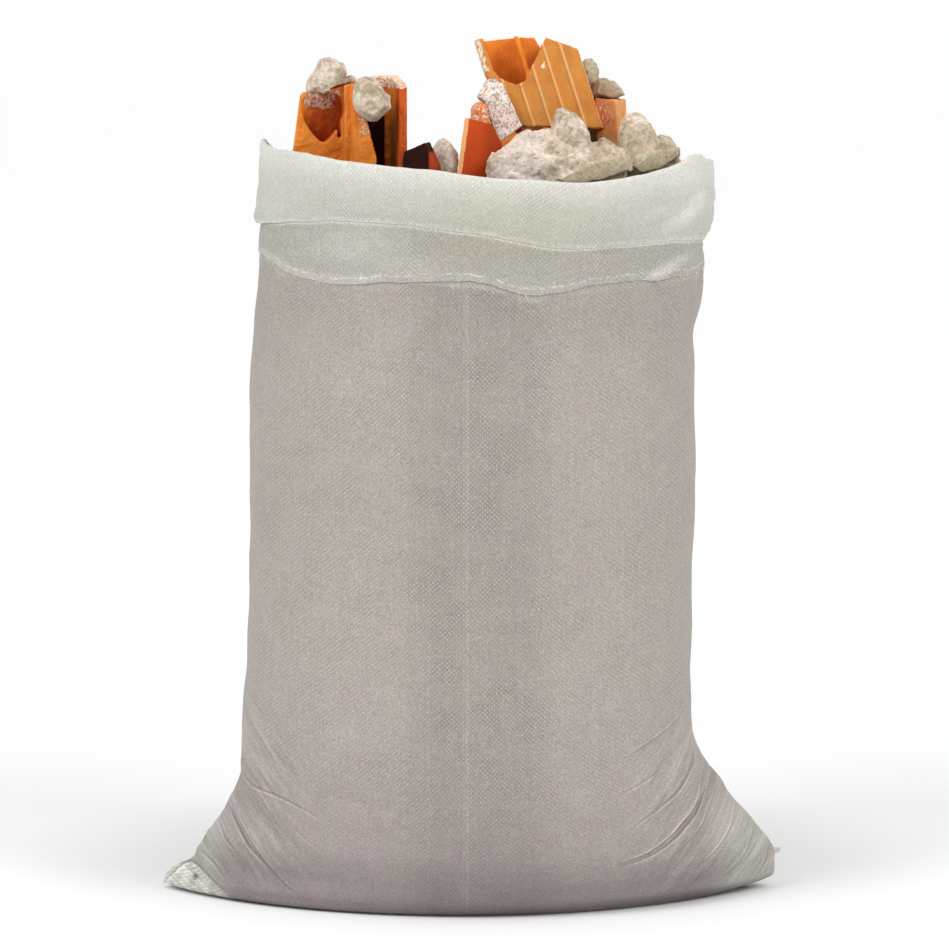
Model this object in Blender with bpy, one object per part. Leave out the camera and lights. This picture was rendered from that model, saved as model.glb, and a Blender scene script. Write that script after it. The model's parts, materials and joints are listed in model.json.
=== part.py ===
"""Woven waste sack, filled with building rubble and standing on its sewn bottom.

The sack is one tube of woven tape cloth, sewn shut across the bottom, with its mouth
turned down twice as a cuff. Broken hollow clay blocks and mortar lumps fill it and stand
out of its mouth. Metres, +Z up, the front faces -Y, and the origin is on the floor in
the middle of the base.
"""

import math
import random

import bmesh
import bpy
from mathutils import Matrix, Vector, noise

CLOTH_WALL = 0.0015
LAYER_GAP = 0.0005
SEAT_GAP = 0.0006
SIDES = 40
CUFF_INNER_STEP = 0.003
CUFF_OUTER_STEP = 0.007
HEM_STEP_HEIGHT = 0.002
RIM_ROUNDING = 0.004
EAR_FILL = 0.016
EAR_TOP = 0.060
EAR_FILL_RATE = 1.6
CORE_FOOT_INSET = 0.003
CRAG_INSET = 0.68
HEAP_EDGE = 0.666
HEAP_CROWN = 0.008
HEAP_RINGS = ((HEAP_CROWN, -0.030), (2 * HEAP_CROWN, -0.090))
BIG_BLOCK_PLACE = {"position": (0.0720, -0.0430, 0.7900), "lean": -17.8, "tip": -4}
PARTS = "woven_waste_sack"
CUTTERS = "cutters"
LINING_HEIGHTS = (
    0.018, 0.034, 0.058, 0.088, 0.120, 0.157, 0.227, 0.385, 0.483, 0.551, 0.600, 0.640, HEAP_EDGE,
)

# Horizontal sections of the filled sack: height, reach to the left and to the right of the
# origin, half depth, and pinch. A pinch of 1 is an ellipse and 2 is a lens with sharp ends.
SECTIONS = (
    (0.000, 0.270, 0.264, 0.131, 1.46),
    (0.008, 0.301, 0.286, 0.142, 1.74),
    (0.018, 0.287, 0.299, 0.148, 1.80),
    (0.034, 0.273, 0.301, 0.154, 1.72),
    (0.058, 0.256, 0.289, 0.161, 1.55),
    (0.088, 0.237, 0.261, 0.166, 1.34),
    (0.120, 0.2235, 0.238, 0.169, 1.16),
    (0.157, 0.2220, 0.218, 0.170, 1.06),
    (0.227, 0.2180, 0.216, 0.169, 1.00),
    (0.385, 0.2140, 0.2195, 0.166, 0.98),
    (0.483, 0.2120, 0.2200, 0.163, 0.98),
    (0.551, 0.2075, 0.2170, 0.160, 1.00),
    (0.600, 0.2030, 0.2210, 0.156, 1.04),
    (0.650, 0.2015, 0.2260, 0.153, 1.08),
    (0.700, 0.1995, 0.2270, 0.150, 1.10),
    (0.760, 0.1990, 0.2280, 0.149, 1.10),
)

# Edges of the cuff round the mouth: angle from +X in degrees, and height.
RIM = (
    (0, 0.717), (20, 0.715), (45, 0.706), (70, 0.700), (90, 0.697), (120, 0.700), (150, 0.714),
    (180, 0.733), (200, 0.7305), (215, 0.727), (235, 0.7185), (255, 0.7115), (275, 0.704),
    (295, 0.700), (315, 0.708), (330, 0.717), (345, 0.7235),
)
FOLD_EDGE = (
    (0, 0.643), (30, 0.647), (90, 0.652), (150, 0.656), (180, 0.657), (200, 0.660), (225, 0.6655),
    (250, 0.665), (270, 0.655), (290, 0.6405), (310, 0.6425), (335, 0.645),
)
RAW_EDGE = (
    (0, 0.607), (40, 0.604), (90, 0.600), (140, 0.598), (180, 0.600), (200, 0.601), (225, 0.6025),
    (250, 0.608), (270, 0.603), (283, 0.596), (300, 0.605), (320, 0.613), (340, 0.612),
)

CLAY = ("clay_block", (0.72, 0.27, 0.07), 0.8)
MORTAR = ("mortar", (0.55, 0.49, 0.43), 0.95)
PLASTER = ("plaster", (0.78, 0.73, 0.70), 0.9)
RUBBLE = ("rubble_mix", (0.50, 0.42, 0.36), 0.95)
CLOTH = ("woven_cloth", (0.62, 0.57, 0.53), 0.6)


def clear_scene():
    for old in list(bpy.data.objects):
        bpy.data.objects.remove(old)


def add_collection(name, hidden):
    collection = bpy.data.collections.new(name)
    bpy.context.scene.collection.children.link(collection)
    collection.hide_render = hidden


def material(finish):
    name, colour, roughness = finish
    made = bpy.data.materials.get(name)
    if made is None:
        made = bpy.data.materials.new(name)
        made.use_nodes = True
        shader = made.node_tree.nodes["Principled BSDF"]
        shader.inputs["Base Color"].default_value = (*colour, 1)
        shader.inputs["Roughness"].default_value = roughness
        shader.inputs["Metallic"].default_value = 0
    return made


def add_object(name, bm, finish, place=Matrix.Identity(4), collection=PARTS):
    """Makes an object of bm, which is in the object's own frame, and stands it at place."""
    bmesh.ops.recalc_face_normals(bm, faces=bm.faces)
    mesh = bpy.data.meshes.new(name)
    bm.to_mesh(mesh)
    bm.free()
    mesh.materials.append(material(finish))
    obj = bpy.data.objects.new(name, mesh)
    obj.matrix_world = place
    bpy.data.collections[collection].objects.link(obj)
    return obj


def hermite(low, high, slope_low, slope_high, span, t):
    """Cubic between two values with given slopes, t from 0 to 1."""
    t2, t3 = t * t, t * t * t
    return (
        (2 * t3 - 3 * t2 + 1) * low
        + (t3 - 2 * t2 + t) * span * slope_low
        + (3 * t2 - 2 * t3) * high
        + (t3 - t2) * span * slope_high
    )


def section_at(height):
    """Left reach, right reach, half depth and pinch of the sack at a height."""
    rows = SECTIONS
    height = min(max(height, rows[0][0]), rows[-1][0])
    i = max(k for k in range(len(rows) - 1) if rows[k][0] <= height)
    low, high = rows[i], rows[i + 1]
    before, after = rows[max(i - 1, 0)], rows[min(i + 2, len(rows) - 1)]
    span = high[0] - low[0]
    t = (height - low[0]) / span
    values = []
    for k in range(1, 5):
        chord = (high[k] - low[k]) / span
        slope_low = slope_high = chord
        if before is not low:
            past = (low[k] - before[k]) / (low[0] - before[0])
            slope_low = 0 if past * chord <= 0 else 2 * past * chord / (past + chord)
        if after is not high:
            next_chord = (after[k] - high[k]) / (after[0] - high[0])
            slope_high = (
                0 if next_chord * chord <= 0 else 2 * next_chord * chord / (next_chord + chord)
            )
        values.append(hermite(low[k], high[k], slope_low, slope_high, span, t))
    return values


def edge_height(rows, angle):
    """Height of a cuff edge at an angle in degrees, smooth all the way round."""
    angle %= 360
    count = len(rows)
    i = max(k for k in range(count) if rows[k][0] <= angle)
    points = [rows[(i + k) % count] for k in (-1, 0, 1, 2)]
    angles = [p[0] for p in points]
    for k in (1, 2, 3):
        while angles[k] < angles[k - 1]:
            angles[k] += 360
    heights = [p[1] for p in points]
    slope_low = (heights[2] - heights[0]) / (angles[2] - angles[0])
    slope_high = (heights[3] - heights[1]) / (angles[3] - angles[1])
    span = angles[2] - angles[1]
    here = angle if angle >= angles[1] else angle + 360
    return hermite(heights[1], heights[2], slope_low, slope_high, span, (here - angles[1]) / span)


def section_point(height, angle, outset):
    """Point of the sack's surface at a height and an angle in degrees, moved out by outset."""
    left, right, depth, pinch = section_at(height)
    turn = math.radians(angle)
    cosine, sine = math.cos(turn), math.sin(turn)
    centre, half_width = (right - left) / 2, (right + left) / 2 + outset
    across = math.copysign(abs(sine) ** pinch, sine) * (depth + outset)
    return Vector((centre + half_width * cosine, across, height))


def ring(bm, height_of, outset_of):
    """One closed row of vertices. Both arguments are functions of the angle in degrees."""
    verts = bmesh.ops.create_circle(bm, segments=SIDES, radius=1)["verts"]
    verts.sort(key=lambda v: math.atan2(v.co.y, v.co.x) % (2 * math.pi))
    for v in verts:
        angle = round(math.degrees(math.atan2(v.co.y, v.co.x)), 3) % 360
        height = height_of(angle)
        v.co = section_point(height, angle, outset_of(height))
    return verts


def loft(bm, rows):
    """Walls between rows of vertices, with the first and the last closed flat.

    Every four-sided patch is split the same way, from its lower left to its upper right
    corner, so that the filling's facets follow the lining's and never cross them.
    """
    for near, far in zip(rows, rows[1:]):
        rising = near[0].co.z <= far[0].co.z
        for i in range(SIDES):
            j = (i + 1) % SIDES
            if rising:
                bm.faces.new((near[i], near[j], far[j]))
                bm.faces.new((near[i], far[j], far[i]))
            else:
                bm.faces.new((near[i], near[j], far[i]))
                bm.faces.new((near[j], far[j], far[i]))
    for row in (rows[0], rows[-1]):
        bm.faces.new(row)


def lining_outset(extra):
    """Outset of the sack's inner face, or of what lies extra further in."""

    def outset(height):
        ear = max(0.0, 1 - height / EAR_TOP)
        return -(CLOTH_WALL + extra) - EAR_FILL * min(1.0, EAR_FILL_RATE * ear)

    return outset


def level(height):
    return lambda angle: height


def below_edge(rows, drop):
    return lambda angle: edge_height(rows, angle) - drop


def build_sack():
    """The cloth tube: its outer face up to the rim with both steps of the cuff, then its lining."""
    bm = bmesh.new()
    lowest_hem = min(height for _, height in RAW_EDGE) - HEM_STEP_HEIGHT
    body_heights = [row[0] for row in SECTIONS if row[0] < lowest_hem - 0.01]
    outer = [ring(bm, level(height), lambda h: 0.0) for height in body_heights]
    outer.append(ring(bm, below_edge(RAW_EDGE, HEM_STEP_HEIGHT), lambda h: 0.0))
    outer.append(ring(bm, below_edge(RAW_EDGE, 0), lambda h: CUFF_INNER_STEP))
    outer.append(ring(bm, below_edge(FOLD_EDGE, HEM_STEP_HEIGHT), lambda h: CUFF_INNER_STEP))
    outer.append(ring(bm, below_edge(FOLD_EDGE, 0), lambda h: CUFF_OUTER_STEP))
    outer.append(ring(bm, below_edge(RIM, RIM_ROUNDING), lambda h: CUFF_OUTER_STEP))
    outer.append(ring(bm, below_edge(RIM, 0), lambda h: CUFF_OUTER_STEP / 2))
    lining = lining_outset(0)
    inner = [ring(bm, below_edge(RIM, RIM_ROUNDING), lining)]
    inner += [ring(bm, level(height), lining) for height in reversed(LINING_HEIGHTS)]
    inner.append(ring(bm, level(CLOTH_WALL), lining))
    loft(bm, outer + inner)
    return add_object("woven_sack", bm, CLOTH)


def build_core():
    """The rubble that the cloth hides, as one plain filling with a slightly crowned top."""
    bm = bmesh.new()
    fit = lining_outset(LAYER_GAP)
    floor = CLOTH_WALL + LAYER_GAP
    rows = [ring(bm, level(floor), lambda h: fit(h) - CORE_FOOT_INSET)]
    rows += [ring(bm, level(height), fit) for height in LINING_HEIGHTS]
    for rise, outset in HEAP_RINGS:
        rows.append(ring(bm, level(HEAP_EDGE + rise), lambda h, outset=outset: outset))
    loft(bm, rows)
    return add_object("rubble_core", bm, RUBBLE)


def placed(position, lean=0.0, tip=0.0, turn=0.0):
    """A frame at a position: leaned in the picture's plane, tipped front to back, turned about Z."""
    return (
        Matrix.Translation(position)
        @ Matrix.Rotation(math.radians(turn), 4, "Z")
        @ Matrix.Rotation(math.radians(tip), 4, "X")
        @ Matrix.Rotation(math.radians(lean), 4, "Y")
    )


def blob_mesh(size, seed, facets=6, roughness=0.14):
    """A rough rounded lump: a ball with noise, then flattened by a few random planes."""
    bm = bmesh.new()
    made = bmesh.ops.create_icosphere(bm, subdivisions=3, radius=0.5)
    rng = random.Random(seed)
    shift = Vector((seed * 3.7, seed * 1.9, seed * 5.3))
    planes = []
    for _ in range(facets):
        normal = Vector((rng.gauss(0, 1), rng.gauss(0, 1), rng.gauss(0, 1))).normalized()
        planes.append((normal, rng.uniform(0.34, 0.46)))
    for v in made["verts"]:
        out = v.co.normalized()
        swell = noise.noise(out * 1.6 + shift) + 0.5 * noise.noise(out * 4.0 + shift)
        v.co = out * 0.5 * (1 + roughness * swell)
        for normal, distance in planes:
            v.co -= normal * max(0.0, v.co.dot(normal) - distance)
        v.co = Vector((v.co.x * size[0], v.co.y * size[1], v.co.z * size[2]))
    return bm


def crag_mesh(outline, front, back, seed):
    """An angular lump: the convex form round an outline in X and Z, drawn in at its front and back."""
    rng = random.Random(seed)
    middle_x = sum(x for x, _ in outline) / len(outline)
    middle_z = sum(z for _, z in outline) / len(outline)
    bm = bmesh.new()
    for x, z in outline:
        rim = (rng.uniform(0.35, 0.65), 1.0)
        faces = [(depth, CRAG_INSET * rng.uniform(0.80, 1.15)) for depth in (0.0, 1.0)]
        for depth, width in (rim, *faces):
            bm.verts.new((
                middle_x + (x - middle_x) * width,
                front + (back - front) * depth,
                middle_z + (z - middle_z) * width,
            ))
    bmesh.ops.convex_hull(bm, input=bm.verts)
    inside = [v for v in bm.verts if not v.link_faces]
    bmesh.ops.delete(bm, geom=inside, context="VERTS")
    return bm


def joined(name, finish, parts):
    """One solid of shapes that run into each other, each given as a mesh and its place."""
    (first, first_place), *others = parts
    obj = add_object(name, first, finish, first_place)
    for bm, place in others:
        helper = add_object(f"{name}_part", bm, finish, place, CUTTERS)
        combine(obj, helper, "UNION")
    return obj


def lump(name, finish, centre, size, seed):
    """A rough rounded stone of mortar or clay."""
    return add_object(name, blob_mesh(size, seed), finish, placed(centre))


def crag(name, finish, *crags):
    """One angular stone: each part of it an outline, its front and back, and a seed."""
    return joined(name, finish, [(crag_mesh(*each), Matrix.Identity(4)) for each in crags])


def evaluated_mesh(obj):
    bpy.context.view_layer.update()
    graph = bpy.context.evaluated_depsgraph_get()
    return bpy.data.meshes.new_from_object(obj.evaluated_get(graph))


def combine(obj, helper, operation, solver="EXACT"):
    """Applies one Boolean to obj and removes the helper."""
    modifier = obj.modifiers.new(operation.lower(), "BOOLEAN")
    modifier.operation = operation
    modifier.solver = solver
    modifier.object = helper
    mesh = evaluated_mesh(obj)
    obj.modifiers.clear()
    obj.data = mesh
    bpy.data.objects.remove(helper)


def box_mesh(low, high, rounding=0.0, rounded_axis="y"):
    """A box between two corners, its edges along one axis rounded if asked."""
    bm = bmesh.new()
    bmesh.ops.create_cube(bm, size=1)
    low, high = Vector(low), Vector(high)
    for v in bm.verts:
        share = v.co + Vector((0.5, 0.5, 0.5))
        v.co = Vector([low[k] + share[k] * (high[k] - low[k]) for k in range(3)])
    if rounding:
        along = [
            e
            for e in bm.edges
            if abs(getattr((e.verts[0].co - e.verts[1].co).normalized(), rounded_axis)) > 0.99
        ]
        bmesh.ops.bevel(
            bm, geom=along, offset=rounding, segments=4, profile=0.5, affect="EDGES", material=-1
        )
    return bm


def prism_mesh(outline, front, back):
    """A flat outline in X and Z, as deep as from front to back along Y."""
    bm = bmesh.new()
    face = bm.faces.new([bm.verts.new((x, front, z)) for x, z in outline])
    made = bmesh.ops.extrude_face_region(bm, geom=[face])["geom"]
    moved = [v for v in made if isinstance(v, bmesh.types.BMVert)]
    bmesh.ops.translate(bm, verts=moved, vec=(0, back - front, 0))
    return bm


def egg_mesh(centre, half_width, half_height, front, back):
    """A pipe along Y, boxy above its middle and pointed at its foot, to cut a squeezed cell."""
    bm = bmesh.new()
    bmesh.ops.create_cone(
        bm, cap_ends=True, segments=24, radius1=1, radius2=1, depth=back - front
    )
    for v in bm.verts:
        narrow = 1 + 0.30 * v.co.y - 0.20 * v.co.y**2
        boxiness = 0.45 if v.co.y > 0 else 1
        across = math.copysign(abs(v.co.x) ** boxiness, v.co.x)
        v.co = Vector((
            centre[0] + half_width * across * narrow,
            (front + back) / 2 - v.co.z,
            centre[1] + half_height * v.co.y,
        ))
    return bm


def cut(obj, bm):
    """Cuts from obj a shape given in the object's own frame."""
    cutter = add_object(f"{obj.name}_cutter", bm, CLAY, obj.matrix_world.copy(), CUTTERS)
    combine(obj, cutter, "DIFFERENCE")


def break_off(bm, point, normal):
    """Cuts the mesh by a plane, drops what lies on the normal's side, and closes the break."""
    geometry = bm.verts[:] + bm.edges[:] + bm.faces[:]
    made = bmesh.ops.bisect_plane(
        bm,
        geom=geometry,
        plane_co=Vector(point),
        plane_no=Vector(normal).normalized(),
        clear_outer=True,
    )
    edges = [e for e in made["geom_cut"] if isinstance(e, bmesh.types.BMEdge)]
    if edges:
        bmesh.ops.contextual_create(bm, geom=edges)


def slab(name, size, place, breaks, finish=CLAY):
    """A piece of a fired clay wall: a slab with its corners broken off."""
    half = Vector(size) / 2
    bm = box_mesh(-half, half)
    for point, normal in breaks:
        break_off(bm, point, normal)
    return add_object(name, bm, finish, place)


def shard(name, outline, thickness, place, finish=CLAY):
    """A piece of a fired clay wall with a broken outline, its front face at the frame's origin."""
    return add_object(name, prism_mesh(outline, 0, thickness), finish, place)


def build_left_block():
    """Hollow block fragment at the left: a squeezed round cell, a slot, a thick web, an open cell."""
    width, depth, height = 0.1005, 0.060, 0.1372
    web_front, cell_front, wall = -0.012, 0.010, 0.008
    cell_back = depth - wall
    bm = box_mesh((-0.012, web_front, 0), (width, depth, height))
    break_off(bm, (-0.0036, cell_front, 0.089), (-1, 0.14, 0.137))
    break_off(bm, (0, depth, height), (0.02, -0.12, 1))
    break_off(bm, (0.020, cell_front, 0.122), (-0.22, 0, 1))
    place = placed((-0.1600, -0.0640, 0.6620), turn=8)
    block = add_object("left_block_fragment", bm, CLAY, place)
    cut(block, box_mesh((-0.02, -0.03, -0.02), (0.0415, cell_front, 0.2)))
    cut(block, box_mesh((0.0410, -0.03, -0.02), (0.0490, -0.004, 0.2)))
    cut(block, egg_mesh((0.0226, 0.0970), 0.0190, 0.0243, -0.03, cell_back))
    cut(block, box_mesh((0.0362, -0.03, 0.077), (0.0398, cell_back, 0.093), 0.0014))
    open_cell = (
        (0.0725, -0.02), (width - wall, -0.02), (width - wall, 0.20), (0.056, 0.20), (0.0620, 0.095),
        (0.0715, 0.058),
    )
    cut(block, prism_mesh(open_cell, -0.03, cell_back))
    return block


def build_big_block():
    """Large hollow block fragment: a ribbed outer face, and two cells laid open at its top left."""
    left, right, depth, wall = -0.0503, 0.0409, 0.048, 0.008
    outline = (
        (left, 0.0605), (-0.0115, 0.0524), (0.0055, 0.0478), (0.0085, 0.0350), (0.0150, 0.0418),
        (right, 0.0214), (right, -0.0577), (-0.0084, -0.0400), (left, -0.0262),
    )
    window = (
        (-0.0425, 0.080), (-0.0425, 0.0275), (-0.0385, 0.0180), (-0.0267, 0.0082),
        (-0.0178, 0.0074), (0.0078, 0.0340), (0.0078, 0.080),
    )
    rib_pitch, rib_width, rib_height, first_rib = 0.0157, 0.0024, 0.0012, -0.0213
    block = add_object(
        "big_block_fragment", prism_mesh(outline, 0, depth), CLAY, placed(**BIG_BLOCK_PLACE)
    )
    for low, high in ((-0.0425, -0.0135), (-0.0095, 0.0150), (0.0190, right - wall)):
        cut(block, box_mesh((low, wall, -0.08), (high, depth - wall, 0.08), 0.006, "z"))
    cut(block, prism_mesh(window, -0.02, wall + 0.003))
    for number in range(-1, 4):
        low = first_rib + (number - 0.5) * rib_pitch + rib_pitch / 2 + rib_width / 2
        cut(block, box_mesh(
            (low, -0.02, -0.09), (low + rib_pitch - rib_width, rib_height, 0.09)
        ))
    return block


def build_shards():
    """Broken pieces of the blocks' walls, each with the outline that it shows or a plain one."""
    centre_outline = (
        (-0.0210, -0.080), (0.0190, -0.080), (0.0270, -0.022), (0.0150, -0.002), (-0.0080, 0.003),
    )
    dark_outline = (
        (-0.022, -0.060), (0.016, -0.060), (0.0135, -0.022), (0.003, 0.000), (-0.018, -0.009),
    )
    return [
        shard("centre_block_shard", centre_outline, 0.011,
              placed((0.0078, -0.0850, 0.7555), turn=26)),
        shard("dark_block_shard", dark_outline, 0.022,
              placed((-0.0450, -0.0820, 0.7350), turn=-14)),
        slab("back_right_block_fragment", (0.022, 0.028, 0.110),
             placed((0.1392, -0.0040, 0.7220), lean=-3, turn=-22), [((0.004, 0, 0.053), (0.1, 0, 1))]),
        slab("back_left_block_shard", (0.070, 0.016, 0.085),
             placed((-0.1150, 0.0560, 0.7000), lean=24, tip=-14, turn=14),
             [((0.020, 0, 0.036), (1, 0, 0.7))]),
        slab("back_block_shard", (0.060, 0.016, 0.090),
             placed((0.0560, 0.1000, 0.6960), lean=-35, tip=-12, turn=-10),
             [((-0.022, 0, 0.030), (-1, 0, 0.8))]),
        slab("flat_block_shard", (0.075, 0.050, 0.014),
             placed((0.1450, 0.0680, 0.6980), lean=8, tip=8, turn=-25),
             [((-0.028, 0.010, 0), (-1, 0.8, 0))]),
    ]


def build_front_chunk():
    """Broken mortar bed at the front: craggy masses, a ridge, a stump, and the bed's clean edge."""
    left = (
        (0.0140, 0.652), (0.0165, 0.705), (0.0175, 0.7175), (0.0235, 0.7262), (0.0345, 0.7355),
        (0.0482, 0.7391), (0.0671, 0.7340), (0.0850, 0.7200), (0.0900, 0.652),
    )
    ridge = (
        (0.0300, 0.690), (0.0294, 0.7284), (0.0408, 0.7397), (0.0493, 0.7463), (0.0597, 0.7492),
        (0.0757, 0.7492), (0.0870, 0.7416), (0.0956, 0.690),
    )
    stump = (
        (0.0730, 0.700), (0.0757, 0.7285), (0.0785, 0.7586), (0.0832, 0.7671), (0.0889, 0.7690),
        (0.0946, 0.7671), (0.1031, 0.7624), (0.1088, 0.7558), (0.1154, 0.7455), (0.1230, 0.7200),
        (0.1230, 0.700),
    )
    middle = (
        (0.0600, 0.652), (0.0640, 0.7230), (0.0757, 0.7320), (0.0900, 0.7345), (0.1050, 0.7310),
        (0.1180, 0.7220), (0.1230, 0.652),
    )
    right = (
        (0.0900, 0.652), (0.1003, 0.7192), (0.1144, 0.7375), (0.1238, 0.7405), (0.1295, 0.7399),
        (0.1361, 0.7342), (0.1446, 0.7310), (0.1520, 0.7235), (0.1500, 0.652),
    )
    bed = (
        (0.0000, 0.7025), (0.0170, 0.7101), (0.0331, 0.7166), (0.0532, 0.7213), (0.0732, 0.7242),
        (0.0753, 0.7101), (0.0422, 0.7006), (0.0070, 0.6969),
    )
    return joined("front_mortar_chunk", MORTAR, [
        (crag_mesh(left, -0.122, -0.076, 3), Matrix.Identity(4)),
        (crag_mesh(ridge, -0.108, -0.068, 7), Matrix.Identity(4)),
        (crag_mesh(stump, -0.106, -0.070, 2), Matrix.Identity(4)),
        (crag_mesh(middle, -0.116, -0.070, 9), Matrix.Identity(4)),
        (crag_mesh(right, -0.098, -0.064, 12), Matrix.Identity(4)),
        (prism_mesh(bed, 0, 0.032), placed((0.084, -0.1250, 0), turn=20)),
    ])


def build_right_chunk():
    """Broken mortar bed at the right: a tall mass, a low one, and the bed's clean edge."""
    tall = (
        (0.1360, 0.652), (0.1383, 0.7180), (0.1411, 0.7370), (0.1448, 0.7560), (0.1496, 0.7617),
        (0.1581, 0.7636), (0.1667, 0.7607), (0.1734, 0.7541), (0.1782, 0.7455), (0.1840, 0.7313),
        (0.1850, 0.652),
    )
    low = (
        (0.1728, 0.660), (0.1728, 0.7131), (0.1775, 0.7369), (0.1822, 0.7426), (0.1889, 0.7416),
        (0.1947, 0.7388), (0.2004, 0.7311), (0.2015, 0.7230), (0.1960, 0.660),
    )
    bed = (
        (0.0000, 0.7134), (0.0165, 0.7229), (0.0349, 0.7276), (0.0580, 0.7300), (0.0600, 0.7219),
        (0.0350, 0.7105), (0.0104, 0.7058),
    )
    return joined("right_mortar_chunk", MORTAR, [
        (crag_mesh(tall, -0.074, -0.034, 5), Matrix.Identity(4)),
        (crag_mesh(low, -0.054, -0.022, 18), Matrix.Identity(4)),
        (prism_mesh(bed, 0, 0.024), placed((0.1560, -0.0930, 0), turn=39)),
    ])


def build_lumps():
    """Lumps of old mortar, and one patch of plaster on the large block's broken side."""
    patch_outline = (
        (-0.0572, -0.0398), (-0.0454, -0.0360), (-0.0322, -0.0320), (-0.0336, -0.0134),
        (-0.0363, 0.0005), (-0.0378, 0.0110), (-0.0413, 0.0192), (-0.0504, 0.0215),
        (-0.0550, 0.0163), (-0.0641, 0.0075), (-0.0590, -0.0020), (-0.0600, -0.0220),
    )
    upper_left_top = (
        (-0.1475, 0.7900), (-0.1481, 0.8012), (-0.1461, 0.8088), (-0.1423, 0.8145),
        (-0.1356, 0.8164), (-0.1270, 0.8145), (-0.1194, 0.8098), (-0.1165, 0.8012),
        (-0.1185, 0.7900),
    )
    upper_left_foot = (
        (-0.1560, 0.7825), (-0.1548, 0.7917), (-0.1509, 0.7993), (-0.1440, 0.8020),
        (-0.1200, 0.8010), (-0.1166, 0.7898), (-0.1233, 0.7770), (-0.1405, 0.7770),
    )
    upper_left_chip = (
        (-0.1230, 0.7960), (-0.1140, 0.7998), (-0.1082, 0.7963), (-0.1083, 0.7877),
        (-0.1140, 0.7820), (-0.1230, 0.7830),
    )
    lower_left = (
        (-0.1129, 0.7730), (-0.1109, 0.7865), (-0.1061, 0.7940), (-0.0985, 0.7969),
        (-0.0900, 0.7959), (-0.0843, 0.7893), (-0.0740, 0.7790), (-0.0735, 0.7676),
        (-0.0806, 0.7600), (-0.0873, 0.7543), (-0.0949, 0.7562), (-0.1072, 0.7640),
    )
    back = (
        (0.0960, 0.672), (0.1000, 0.7600), (0.1075, 0.8050), (0.1125, 0.8135), (0.1190, 0.8128),
        (0.1239, 0.8083), (0.1265, 0.7960), (0.1340, 0.7700), (0.1400, 0.672),
    )
    back_upper = (
        (0.1150, 0.7770), (0.1230, 0.7935), (0.1326, 0.7939), (0.1404, 0.7919), (0.1491, 0.7852),
        (0.1530, 0.7780), (0.1385, 0.7740),
    )
    chip = (
        (0.0025, 0.728), (0.0030, 0.7675), (0.0060, 0.7710), (0.0120, 0.7722), (0.0172, 0.7690),
        (0.0190, 0.7560), (0.0180, 0.728),
    )
    return [
        add_object(
            "plaster_patch", prism_mesh(patch_outline, -0.007, 0.020), PLASTER,
            placed(**BIG_BLOCK_PLACE)),
        lump("support_mortar_lump", MORTAR, (0.070, -0.020, 0.706), (0.080, 0.066, 0.086), 31),
        build_front_chunk(),
        build_right_chunk(),
        crag("upper_left_mortar_lump", MORTAR,
             (upper_left_top, -0.060, -0.018, 22),
             (upper_left_foot, -0.064, -0.016, 23),
             (upper_left_chip, -0.040, -0.018, 24)),
        crag("lower_left_mortar_lump", MORTAR, (lower_left, -0.089, -0.049, 27)),
        crag("small_brick_chip", CLAY, (chip, -0.063, -0.041, 41)),
        lump("centre_mortar_lump", MORTAR, (-0.0255, -0.044, 0.706), (0.036, 0.040, 0.066), 44),
        crag("back_mortar_lump", MORTAR, (back, 0.010, 0.052, 52)),
        crag("back_upper_mortar_lump", MORTAR, (back_upper, -0.016, 0.022, 57)),
        lump("back_left_mortar_lump", MORTAR, (-0.146, 0.022, 0.694), (0.064, 0.056, 0.064), 61),
        lump("back_centre_mortar_lump", MORTAR, (-0.044, 0.086, 0.690), (0.078, 0.062, 0.062), 66),
        lump("middle_mortar_lump", MORTAR, (-0.086, 0.012, 0.690), (0.062, 0.052, 0.062), 71),
        lump("back_right_mortar_lump", MORTAR, (0.184, 0.024, 0.692), (0.060, 0.056, 0.056), 77),
        lump("front_left_mortar_lump", MORTAR, (-0.018, -0.112, 0.682), (0.060, 0.046, 0.046), 83),
    ]


def boxes_meet(one, other):
    corners = []
    for obj in (one, other):
        points = [obj.matrix_world @ v.co for v in obj.data.vertices]
        corners.append((
            [min(p[k] for p in points) - SEAT_GAP for k in range(3)],
            [max(p[k] for p in points) + SEAT_GAP for k in range(3)],
        ))
    (low_a, high_a), (low_b, high_b) = corners
    return all(low_a[k] < high_b[k] and low_b[k] < high_a[k] for k in range(3))


def swollen_hull(obj):
    """A cutter with the convex outline of obj, grown by the seat gap."""
    bm = bmesh.new()
    for v in obj.data.vertices:
        bm.verts.new(v.co)
    bmesh.ops.remove_doubles(bm, verts=bm.verts, dist=SEAT_GAP / 2)
    bmesh.ops.convex_hull(bm, input=bm.verts)
    inside = [v for v in bm.verts if not v.link_faces]
    bmesh.ops.delete(bm, geom=inside, context="VERTS")
    bmesh.ops.recalc_face_normals(bm, faces=bm.faces)
    bm.normal_update()
    moves = [(v, v.normal * SEAT_GAP * min(v.calc_shell_factor(), 2.5)) for v in bm.verts]
    for v, move in moves:
        v.co += move
    return add_object(f"{obj.name}_seat", bm, RUBBLE, obj.matrix_world.copy(), CUTTERS)


def keep_largest_body(obj):
    """Drops crumbs that a seat has cut loose."""
    bm = bmesh.new()
    bm.from_mesh(obj.data)
    bmesh.ops.remove_doubles(bm, verts=bm.verts, dist=1e-6)
    left, bodies = set(bm.faces), []
    while left:
        body, edge_of_search = set(), [left.pop()]
        while edge_of_search:
            face = edge_of_search.pop()
            body.add(face)
            for edge in face.edges:
                for neighbour in edge.link_faces:
                    if neighbour in left:
                        left.discard(neighbour)
                        edge_of_search.append(neighbour)
        bodies.append(body)
    largest = max(bodies, key=lambda body: sum(face.calc_area() for face in body))
    crumbs = [face for body in bodies if body is not largest for face in body]
    bmesh.ops.delete(bm, geom=crumbs, context="FACES")
    bm.to_mesh(obj.data)
    bm.free()


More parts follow.
